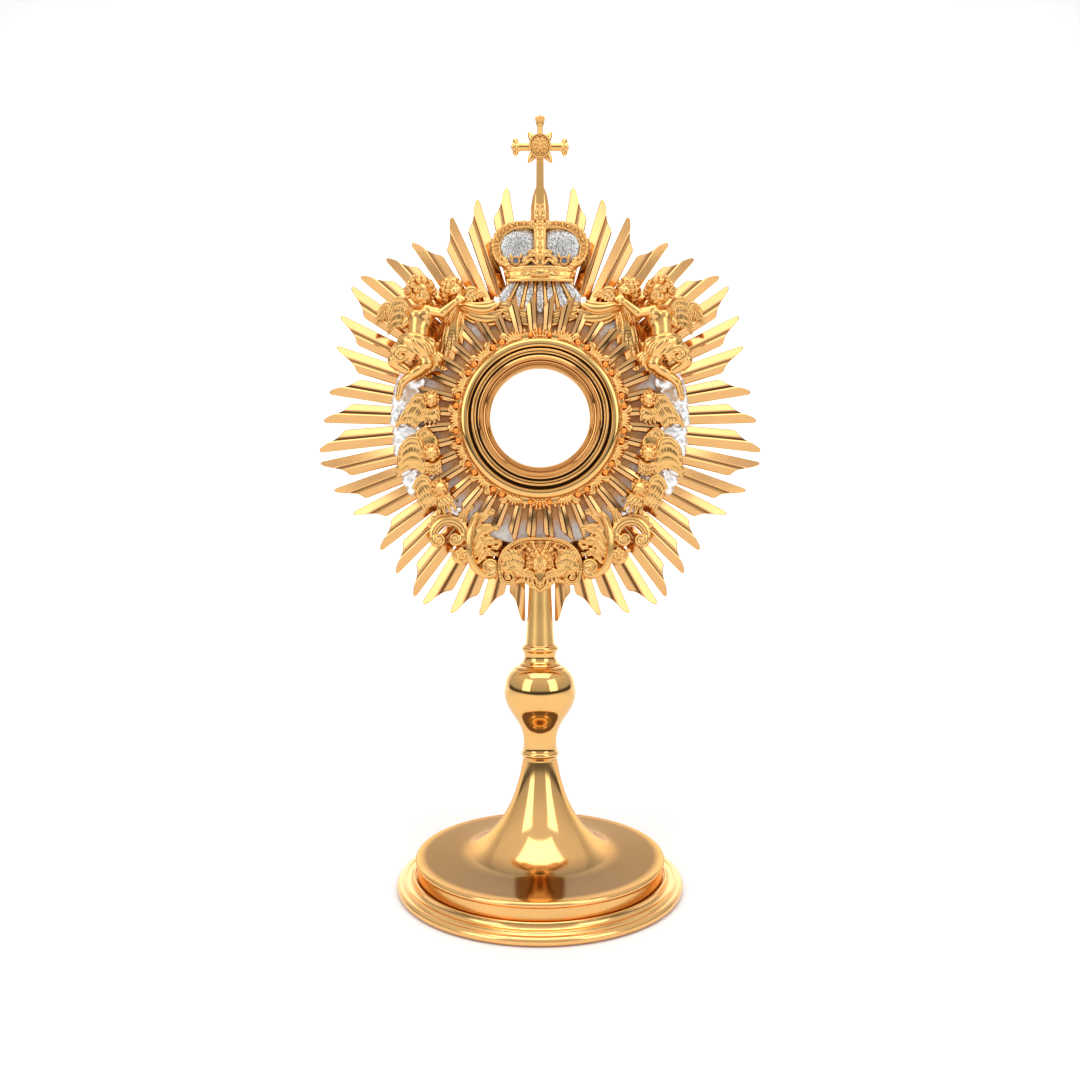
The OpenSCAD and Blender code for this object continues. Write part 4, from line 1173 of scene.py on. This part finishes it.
def build_short_rays():
    """Pairs of flat bars with a strip of painted shade in the groove between them, with points cut on a
    slant, on one ring.
    """
    points, faces, line_points, line_faces = [], [], [], []
    for i in range(SHORT_PAIRS):
        angle = (i + 0.5) * 360 / SHORT_PAIRS
        turn = math.radians(angle)
        # the slants change hands in twos, counted from the upright, and the four quarters mirror each other
        from_upright = int(min(angle % 180, 180 - angle % 180) // (360 / SHORT_PAIRS))
        hand = math.copysign(1, math.cos(turn)) * (1 if from_upright % 4 < 2 else -1)
        rows = [[(s * half, r, SHORT_BACK + h) for s, h in SHORT_SECTION] for r, half in SHORT_WIDTHS]
        rows.append([(s * SHORT_TIP_HALF, short_end((1 - s * hand) / 2), SHORT_BACK + h * SHORT_TIP_FLAT)
                     for s, h in SHORT_SECTION])
        skin(points, faces, [turned(row, turn) for row in rows])
        # a dark strip of painted shade in the groove between the two bars
        strips = [[(s * half, r, SHORT_BACK + h) for s, h in ((-1, 1.0), (-1, 1.55), (1, 1.55), (1, 1.0))]
                  for r, half in ((66.0, 0.26), (93.0, 0.34))]
        skin(line_points, line_faces, [turned(strip, turn) for strip in strips])
    ring = [(52.5, SHORT_BACK), (52.5, 11.9), (64, 11.9), (65.5, 11.4), (65.5, SHORT_BACK)]
    skin(points, faces, all_round(ring), "ring")
    add_hard_piece("short_ray_ring", from_head(points), faces, gold_ray, ["short_rays"], 15)
    add_hard_piece("short_ray_shade_lines", from_head(line_points), line_faces, painted_groove_shade, [], 15)


def build_rosette_ring():
    clay = Clay((-76, -76, 11), (76, 76, 19), 0.4)
    beads = Clay((-74, -74, 11), (74, 74, 20), 0.4)

    def polar(r, degrees, z):
        a = math.radians(degrees)
        return (r * math.sin(a), r * math.cos(a), z)

    def ring(r, z, size, flat=1.0):
        clay.chain([polar(r, a, z) for a in range(0, 361, 3)], size, 0.15, flat)

    ring(65.4, 12.9, 2.8, 0.4)
    ring(62.9, 13.6, 0.9)
    middles = [s * (30 + 24 * i) for i in range(6) for s in SIDES]
    for middle in middles:
        for hand in SIDES:
            a = middle + hand * 3.4
            beads.egg(polar(66.4, a, 14.5), (2.6, 2.6, 2.5), 0, 0.1)
            # the leaf that curls over each bead
            start = 90 - a + hand * 150
            clay.spiral(polar(67.6, a + hand * 1.1, 14.0), start, 0.62, 4.5, 3.4, 1.4, 0.9, hand, 0.2, 0.8)
            clay.spiral(polar(69.6, a + hand * 2.4, 13.8), 90 - a, 0.8, 2.6, 0.9, 1.2, 0.8, -hand, 0.2, 0.8)
        clay.egg(polar(70.6, middle, 13.8), (1.2, 2.2, 1.6), -middle, 0.2)
        clay.egg(polar(69.0, middle, 14.4), (1.0, 1.4, 1.6), -middle, 0.2)
    # the close leaf frieze under the beads and fans
    leaves = 90
    for i in range(leaves):
        a = (i + 0.5) * 360 / leaves
        clay.egg(polar(67.6 + 1.8 * (i % 2), a, 12.8), (1.35, 3.0 - 0.5 * (i % 2), 1.7), -a, 0.15)
        clay.rod(polar(66.2, a, 14.5), polar(69.0, a, 14.4), 0.22, 0.18, 0.1, cut=True)
    fans = [s * (18 + 24 * i) for i in range(7) for s in SIDES]
    for middle in fans + [0, 180]:
        top = middle % 180 == 0
        for k in range(-3, 4):
            spread = middle + k * (2.1 if top else 1.55)
            place = polar(68.0 - abs(k) * 0.6, spread, 13.8)
            clay.egg(place, (1.15, 3.9 - abs(k) * 0.35, 2.1), -middle - k * 14, 0.16)
        for hand in SIDES:
            place = polar(65.6, middle + hand * 3.2, 13.9)
            clay.spiral(place, 90 - middle, 0.8, 2.2, 0.8, 0.9, 0.6, hand, 0.2, rise=0.6)
        clay.egg(polar(64.8, middle, 14.6), (1.6, 1.2, 1.4), -middle, 0.2)
    for middle in (0, 180):
        for a in (-6.5, 6.5):
            beads.egg(polar(66.2, middle + a, 14.4), (2.2, 2.2, 2.3), 0, 0.1)
        beads.egg(polar(67.2, middle, 15.0), (1.6, 2.4, 2.0), 0, 0.1)
    clay.cut_behind(12)
    beads.cut_behind(12)
    cast("rosettes", clay, ["rosette_ring"])
    cast("rosette_beads", beads, [], copper_gold)


# ---------- crown ----------

CROWN_SEAT = 4.2
CROWN_SHOULDER = 140
STONE = (19.1, 124.1)
KNOT = (34, 93.2)
# The fan's flutes: where each leaves the crown, and where it ends
FAN_FLUTES = [(-22, -29), (-14.6, -19), (-7.4, -9.4), (0, 0), (7.4, 9.4), (14.6, 19), (22, 29)]


def crown_line(side, inset=1.0, drop=0.0, lift=0.0):
    """Half of the crown's arch from the middle of its top to the band, drawn in by a share."""
    top = bezier([(2.5, 153.6), (22, 156.5), (37.5, 152), (37.2, 136)], 9)
    foot = bezier([(37.2, 136), (37, 128), (32.5, 122.5), (27, 120.8)], 4)
    return [(side * x * inset, y - drop if y > CROWN_SHOULDER else y + lift) for x, y in top + foot[1:]]


def bowed(line, back, bow):
    """Gives a line its depth: the crown bows towards the viewer in the middle."""
    return [(x, y, back + bow * (1 - (abs(x) / 40) ** 2)) for x, y in line]


def oval(centre, rx, ry, count):
    """A closed run of points round an oval at the centre's depth."""
    x, y, z = centre
    return [(x + rx * math.cos(a), y + ry * math.sin(a), z) for a in np.linspace(0, 2 * math.pi, count)]


def build_crown_arches():
    clay = Clay((-43, 117, 3), (43, 174, 21), 0.38)
    for side in SIDES:
        clay.chain(bowed(curve(crown_line(side, 0.935, 1.6), 60), 6.6, 4.2), 2.9, 0.3, flat=0.8)
        clay.chain(bowed(curve(crown_line(side, 0.87, 3.7, 0.8), 60), 8.6, 4.4), 0.8, 0.15)
        for i, p in enumerate(bowed(curve(crown_line(side), 26), 8.8, 4.4)):
            clay.egg(p, (1.75 if i % 2 else 1.35,) * 3, 0, 0.15)
        for i, p in enumerate(bowed(curve(crown_line(side, 0.93, 2.2), 15), 9.6, 4.6)):
            clay.egg(p, (1.5, 0.9, 0.9), 40 * i, 0.2)
        # leaf curls at the foot of the strap
        clay.spiral((side * 6.8, 130.6, 13.2), 90 + side * 60, 1.3, 2.7, 0.6, 1.2, 0.8, side, 0.2, rise=0.8)
        clay.tube([(side * 4, 127.6, 13.6), (side * 8.6, 127.2, 14), (side * 11.2, 124.6, 13.4),
                   (side * 13.6, 121.5, 12.5)], [0.7, 1.1, 1.1, 0.8], 0.25, count=20)
        clay.spiral((side * 11.4, 123.6, 13), 90 - side * 20, 1.1, 2.2, 0.6, 0.9, 0.7, -side, 0.2, rise=0.6)
        clay.tube([(side * 3, 121, 13.5), (side * 7, 124.6, 14), (side * 11, 121.4, 13)],
                  [0.9, 1.3, 0.9], 0.3, count=16)
        # leaves of the lower cresting
        for x, y, w, h, turn in ((15.2, 127.6, 1.4, 3.2, 20), (22.6, 127.4, 1.4, 3.4, -20),
                                 (26.6, 125.6, 1.6, 3.2, -40), (30.2, 127.8, 1.6, 3.0, -60),
                                 (24.4, 121.4, 3.2, 1.4, 0), (14.2, 121.6, 3.0, 1.4, 0),
                                 (29.0, 122.8, 1.6, 2.4, 30), (11.4, 126.6, 1.3, 2.2, 10)):
            clay.egg((side * x, y, 11.6 - x * 0.08), (w, h, 2.0), side * turn, 0.25)
        clay.rod((side * 12, 120.9, 10.6), (side * 27, 121.2, 7.6), 2.2, 2.0, 0.4)
        # setting of the stone
        x, y = side * STONE[0], STONE[1]
        clay.chain(oval((x, y, 12.6), 2.9, 2.9, 22), 0.75, 0.15)
        clay.rod((x, y, 5), (x, y, 8.2), 3.0, 3.0, 0.2)
    clay.rod((-27, 120.6, 6.4), (27, 120.6, 6.4), 2.2, 2.2, 0.3)
    # strap over the middle
    strap = [(0, 154.5, 10.6), (0, 146, 12), (0, 134, 12.2), (0, 122, 11)]
    clay.tube(strap, [4.6, 4.0, 3.7, 4.2], 0.3, flat=0.75, count=20)
    for side in SIDES:
        clay.tube([(side * 4.6, 153.5, 12), (side * 3.9, 145, 13), (side * 3.5, 134, 13.4),
                   (side * 3.9, 123, 12.6)],
                  [0.8, 0.8, 0.8, 0.8], 0.15, count=24)
    for i in range(8):
        width, height = (1.9, 1.8) if i % 2 else (1.3, 1.2)
        clay.egg((0, 151.6 - i * 3.5, 15), (width * 0.9, height, 1.3), 0, 0.15)
    for side in SIDES:
        clay.egg((side * 2.4, 127, 14), (1.4, 3.0, 1.6), side * 18, 0.25)
        clay.egg((side * 5.6, 152.2, 12.6), (3.2, 1.8, 1.8), side * 20, 0.3)
    clay.cut_behind(CROWN_SEAT)
    cast("crown_arches", clay, ["crown_frame"])


def build_crown_leaf():
    """The leaf bud on top of the crown, which the cross stands on."""
    leaf = Clay((-8, 151, 1), (8, 173, 17), 0.33)
    leaf.egg((0, 156.6, 10.6), (4.8, 3.4, 3.6), 0, 0.5)
    for side in SIDES:
        leaf.egg((side * 3.0, 157.8, 12.8), (2.2, 2.6, 1.8), side * 30, 0.25)
        leaf.egg((side * 2.2, 162.4, 12.4), (1.8, 3.4, 1.8), side * 12, 0.25)
        leaf.egg((side * 2.0, 168.2, 11.4), (1.3, 1.5, 1.2), 0, 0.2)
    leaf.egg((0, 163, 13), (1.7, 5.4, 1.8), 0, 0.25)
    leaf.egg((0, 158.6, 14.4), (1.7, 2.2, 1.4), 0, 0.2)
    leaf.egg((0, 162.5, 8.6), (4.0, 7.6, 4.4), 0, 0.4)
    cast("crown_leaf", leaf, ["crown_finial"])


def build_crown_caps():
    """The two silver domes inside the arches."""
    caps = Clay((-36, 121, 3), (36, 154, 16), 0.4)
    for side in SIDES:
        caps.egg((side * 17.6, 139.4, 5.4), (19.4, 17.6, 6.4), side * 8, 0.4)
    caps.cut_behind(CROWN_SEAT)
    cast("crown_velvets", caps, ["crown_caps"], silver_punched)


def build_crown_band():
    band = Clay((-30, 104, 3), (30, 124, 20), 0.38)
    for y, depth, radius, half, flat in ((113.8, 10.6, 5.2, 23, 0.8), (118.3, 14.2, 1.5, 25.4, 1.0),
                                         (116.6, 14.6, 0.6, 25.4, 1.0), (108.9, 14.4, 1.4, 25.4, 1.0),
                                         (110.7, 14.2, 0.6, 24.6, 1.0)):
        # a moulding across the band, bowed towards the viewer
        line = [(-half, y + 1.0, depth - 6.0), (-half * 0.5, y + 0.2, depth - 1.5), (0, y, depth),
                (half * 0.5, y + 0.2, depth - 1.5), (half, y + 1.0, depth - 6.0)]
        band.tube(line, [radius] * 5, 0.2, flat=flat, count=34)
    band.egg((0, 113.9, 14.9), (8.4, 2.9, 1.3), 0, 0.2)
    for side in SIDES:
        band.egg((side * 13.4, 114.3, 14.2), (4.3, 1.5, 1.3), 0, 0.15, cut=True)
        band.egg((side * 13.4, 114.3, 13.0), (1.8, 0.9, 1.0), 0, 0.15)
        band.egg((side * 21.4, 114.9, 11.2), (2.2, 1.3, 1.3), 0, 0.15, cut=True)
        band.egg((side * 25.4, 113.6, 8.6), (1.8, 1.6, 1.8), 0, 0.2)
    dice = random.Random(12)
    for i in range(60):
        x = dice.uniform(-7.4, 7.4)
        y = 113.9 + dice.uniform(-2, 2) * (1 - (x / 9) ** 2)
        band.egg((x, y, 16.1), (0.45, 0.45, 0.35), 0, 0.1)
    band.cut_behind(CROWN_SEAT)
    cast("crown_rim", band, ["crown_band"])


def build_crown_stones():
    """Two round stones: a table, two rows of facets and a girdle."""
    n = 12
    radius, height = 2.5, 2.2
    for side, name in ((-1, "left"), (1, "right")):
        loops = []
        for j, (r, h) in enumerate(((0.50, 1.0), (0.86, 0.66), (1.0, 0.2), (1.0, 0.0))):
            turns = [2 * math.pi * (i + (0.5 if j % 2 else 0)) / n for i in range(n)]
            loops.append([(side * STONE[0] + radius * r * math.cos(a), STONE[1] + radius * r * math.sin(a),
                           11.3 + height * h) for a in turns])
        points, faces = [], []
        skin(points, faces, loops)
        add_hard_piece(f"crown_stone_{name}", from_head(points), faces, stone_dark, ["crown_gems"], 5)


def build_crown_fan():
    """The silver cloth under the crown, and the gold ribs between its flutes."""
    fan = Clay((-35, 84, 3), (35, 112, 12), 0.4)
    ribs = Clay((-36, 84, 3), (36, 112, 14), 0.4)
    for top, foot in FAN_FLUTES:
        low = 96.5 if abs(foot) > 25 else (91.5 if abs(foot) > 15 else 88.5)
        fan.tube([(top * 0.92, 109, 6.2), (foot, low, 6.4)], [2.6, 4.4], 0.3, flat=0.7, count=12)
    for (a, b), (c, d) in zip(FAN_FLUTES, FAN_FLUTES[1:]):
        low = 94.5 if max(abs(b), abs(d)) > 25 else 89
        ribs.tube([((a + c) * 0.46, 109, 8.2), ((b + d) / 2, low, 8.6)], [0.8, 1.5], 0.2, count=10)
    for side in SIDES:
        ribs.tube([(side * 23.6, 108.6, 7.0), (side * 28, 101.6, 7.2), (side * 34, 94.5, 7.6)],
                  [0.8, 1.2, 1.3],
                  0.2, count=12)
    fan.egg((0, 90.6, 10.2), (1.6, 2.4, 1.5), 0, 0.3)
    fan.cut_behind(SEAT)
    ribs.cut_behind(SEAT)
    cast("crown_fan", fan, [], silver_punched)
    cast("crown_fan_ribs", ribs)


def build_knots():
    """Silver flowers that hold up the cloth on both sides."""
    knots = Clay((-40, 86, 4), (40, 100, 16), 0.4)
    for side in SIDES:
        x, y = side * KNOT[0], KNOT[1]
        knots.egg((x, y, 10.4), (3.1, 3.1, 3.0), 0, 0.3)
        for i in range(6):
            a = math.radians(60 * i)
            knots.egg((x + 2.6 * math.cos(a), y + 2.6 * math.sin(a), 10.6), (1.1, 1.1, 1.4), 0, 0.2)
    cast("cloth_knots", knots, [], silver_bright)


# ---------- cross ----------

CROSS_Y = 215.4
CROSS_DEPTH = 8
SHAFT_TOP_HALF = 3.0
SHAFT_FOOT_HALF = 3.4
SHAFT_FOOT_Y = 152


def build_cross_arms():
    c = CROSS_Y
    arms = Clay((-25, c - 18, 3), (25, c + 17, 15), 0.3)
    for side in SIDES:
        arms.rod((side * 7, c, 8), (side * 19, c, 8), 3.0, 3.1, 0.2, flat=0.8)
        arms.rod((side * 8, c, 9.6), (side * 18, c, 9.6), 1.1, 1.1, 0.2, flat=0.8)
        arms.egg((side * 19.4, c + 4.4, 8), (2.5, 2.5, 2.1), 0, 0.4)
        arms.egg((side * 19.4, c - 4.4, 8), (2.5, 2.5, 2.1), 0, 0.4)
        arms.egg((side * 20.8, c, 8), (2.2, 3.4, 2.2), 0, 0.4)
        for end in SIDES:
            arms.rod((side * 17.6, c, 10.2), (side * 20.2, c + end * 4.8, 9.6), 0.7, 0.6, 0.2)
            arms.egg((side * 16.8, c + end * 2.6, 8.2), (1.6, 1.2, 1.4), 0, 0.3)
            # points behind the medallion
            arms.tube([(side * 5.0, c + end * 5.5, 7.6), (side * 7.3, c + end * 9.0, 7.6),
                       (side * 9.0, c + end * 11.4, 7.4)], [3.4, 2.5, 0.9], 0.2, flat=0.7, count=10)
            arms.rod((side * 6.4, c + end * 8.0, 9.4), (side * 9.2, c + end * 11.8, 8.3), 0.45, 0.2, 0.1)
        arms.rod((side * 20.6, c, 10.0), (side * 22.4, c, 9.4), 0.7, 0.5, 0.2)
    arms.rod((0, c + 8, 8), (0, c + 14.8, 8), 2.5, 2.3, 0.2)
    arms.egg((0, c, 7.4), (7.6, 8.6, 2.4), 0, 0.2)
    cast("cross_arms", arms, ["cross"])


def build_cross_medal():
    """The oval medallion, with a plain radiating flower."""
    c = CROSS_Y
    medal = Clay((-11, c - 12, 7), (11, c + 12, 15), 0.25)
    medal.egg((0, c, 9.4), (8.4, 9.5, 1.7), 0, 0.2)
    medal.chain(oval((0, c, 10.6), 8.1, 9.2, 48), 0.75, 0.1)
    medal.chain(oval((0, c, 10.9), 6.7, 7.7, 48), 0.35, 0.1)
    for i in range(8):
        a = math.radians(22.5 + 45 * i)
        lean = math.degrees(a)
        medal.egg((3.2 * math.cos(a), c + 3.8 * math.sin(a), 11.2), (2.4, 0.9, 0.7), lean, 0.12)
        medal.egg((5.3 * math.cos(a + 0.39), c + 6.1 * math.sin(a + 0.39), 10.9), (0.8, 0.6, 0.5), lean, 0.1)
    medal.egg((0, c, 11.6), (1.3, 1.5, 1.0), 0, 0.12)
    medal.cut_behind(8.2)
    cast("cross_medal", medal, ["cross_medallion"])


def build_cross_bud():
    """The leafy bud that ends the upright."""
    c, z = CROSS_Y, CROSS_DEPTH
    bud = Clay((-6, c + 12.5, 2), (6, c + 28, 14), 0.25)
    bud.rod((0, c + 14.6, z), (0, c + 15.6, z), 2.3, 1.9, 0.1)
    bud.rod((0, c + 16.6, z), (0, c + 20, z), 2.4, 2.9, 0.2)
    bud.egg((0, c + 21.8, z), (2.4, 3.0, 2.4), 0, 0.3)
    bud.rod((0, c + 23, z), (0, c + 26.3, z), 1.5, 0.35, 0.3)
    for i in range(8):
        a = 2 * math.pi * i / 8
        petal = [(r * math.cos(a), c + y, z + r * math.sin(a))
                 for r, y in ((2.2, 17.4), (2.9, 20.4), (3.4, 22.6), (3.9, 23.8))]
        bud.tube(petal, [0.8, 0.8, 0.7, 0.3], 0.15, count=10)
    cast("cross_bud", bud, ["cross"])


def build_shaft():
    """The flat-sided stem that carries the cross."""
    n = 8
    turns = [math.pi / n + 2 * math.pi * i / n for i in range(n)]
    loops = [[(r * math.cos(a) * 1.05, y, CROSS_DEPTH + r * math.sin(a) * 1.05) for a in turns]
             for y, r in ((CROSS_Y - 7.6, SHAFT_TOP_HALF), (SHAFT_FOOT_Y, SHAFT_FOOT_HALF))]
    points, faces = [], []
    skin(points, faces, loops)
    add_hard_piece("cross_stem", from_head(points), faces, gold_polished, ["cross_shaft"], 20)


# ---------- scene ----------

CAMERA_PLACE = (0, -0.680, 0.2728)
CAMERA_LENS = 28.33
FLOOR_SIDE = 6.0
FLOOR_NEAR = -3.0
FLOOR_BEND = 2.2
FLOOR_CURVE = 1.2
WALL_TOP = 5.0
# What reflections see, from straight down to straight up: (place, brightness)
STUDIO_BAND = [(0.0, 0.9), (0.40, 0.75), (0.46, 0.55), (0.49, 0.12), (0.53, 0.10), (0.56, 0.85), (0.8, 1.25),
               (1.0, 1.3)]
PALE_ROOM = (1.5, 1.5, 1.5, 1)
WORLD_POWER = 0.62


def build_camera():
    scene = bpy.context.scene
    scene.view_settings.view_transform = "Standard"
    lens = bpy.data.cameras.new("camera")
    lens.lens = CAMERA_LENS
    lens.sensor_width = 36
    camera = bpy.data.objects.new("camera", lens)
    camera.location = CAMERA_PLACE
    camera.rotation_euler = (math.radians(90), 0, 0)
    scene.collection.objects.link(camera)
    scene.camera = camera


def build_floor():
    """A pale floor that bends up into a wall behind the part."""
    white = Shader("stage_white", None, Roughness=0.9)
    white.set(Base_Color=white.ramp(white.noise(1.5), [(0.0, 0.93), (1.0, 0.97)]))
    profile = [(FLOOR_NEAR, 0.0)]
    profile += arc((FLOOR_BEND, FLOOR_CURVE), FLOOR_CURVE, -90, 0,
                   13) + [(FLOOR_BEND + FLOOR_CURVE, WALL_TOP)]
    points = [(x, y, z) for y, z in profile for x in (-FLOOR_SIDE, FLOOR_SIDE)]
    faces = [(i, i + 1, i + 3, i + 2) for i in range(0, len(points) - 2, 2)]
    mesh = bpy.data.meshes.new("floor")
    mesh.from_pydata(points, [], faces)
    mesh.materials.append(white.material)
    mesh.polygons.foreach_set("use_smooth", [True] * len(mesh.polygons))
    floor = bpy.data.objects.new("floor", mesh)
    bpy.context.scene.collection.objects.link(floor)


def build_world():
    """Reflections see the soft band of a studio; a straight look, or one through glass, a plain pale room."""
    world = bpy.data.worlds.new("studio")
    world.use_nodes = True
    bpy.context.scene.world = world
    n = Nodes(world.node_tree, "Generated")
    up = n.node("MapRange", {"Value": n.split()["Z"], "From Min": -1.0})
    path = n.node("LightPath").outputs
    straight = n.maths("MAXIMUM", path["Is Camera Ray"], path["Is Transmission Ray"])
    background = n.tree.nodes["Background"].inputs
    n.feed(background["Color"], n.mix(straight, n.ramp(up.outputs["Result"], STUDIO_BAND), PALE_ROOM))
    n.feed(background["Strength"], WORLD_POWER)


def panel(name, place, target, width, height, power):
    """A soft rectangular light, aimed at a target."""
    light = bpy.data.lights.new(name, "AREA")
    light.shape = "RECTANGLE"
    light.size = width
    light.size_y = height
    light.energy = power
    lamp = bpy.data.objects.new(name, light)
    lamp.location = place
    lamp.rotation_euler = (Vector(target) - Vector(place)).to_track_quat("-Z", "Y").to_euler()
    bpy.context.scene.collection.objects.link(lamp)


def build_lights():
    panel("softbox_left", (-1.5, -1.5, 1.1), (0, 0, 0.35), 1.1, 1.6, 9)
    panel("softbox_right", (1.5, -1.5, 1.1), (0, 0, 0.35), 1.1, 1.6, 9)
    panel("softbox_top", (0, -0.5, 2.2), (0, 0, 0.3), 2.0, 1.4, 15)
    panel("backlight", (0, 1.4, 1.9), (0, 3.4, 0.9), 5.4, 1.0, 82)


# ---------- the rest of the frame ----------

def dress_frame():
    """CAD nodes that stay in view get a plated or glass finish."""
    by_slot = {"gilt_polished": gold_polished, "gilt_cast": gold_cast, "gilt_satin": gold_satin,
               "silver_polished": silver_bright, "silver_stippled": silver_punched,
               "brass_plain": brass_worked, "clear_glass": glass_clear}
    slots = {row["node"]: row["material_slot"] for row in frame["record"]["subparts"]}
    for name, node in frame["nodes"].items():
        material = glory_stipple if name == "glory_plate" else by_slot[slots[name]]
        if not node.material_slots:
            node.data.materials.append(material)
        for slot in node.material_slots:
            slot.material = material


build_camera()
build_floor()
build_world()
build_lights()
dress_frame()
build_stem()
build_rays()
build_bezel()
build_groove_shades()
build_short_rays()
build_rosette_ring()
build_crown_arches()
build_crown_leaf()
build_crown_caps()
build_crown_band()
build_crown_stones()
build_crown_fan()
build_knots()
build_cross_arms()
build_cross_medal()
build_cross_bud()
build_shaft()
build_angel()
build_angel_wings()
build_companion()
build_cherubs()
build_clouds()
build_acanthus()
build_cartouche()
build_drapery()
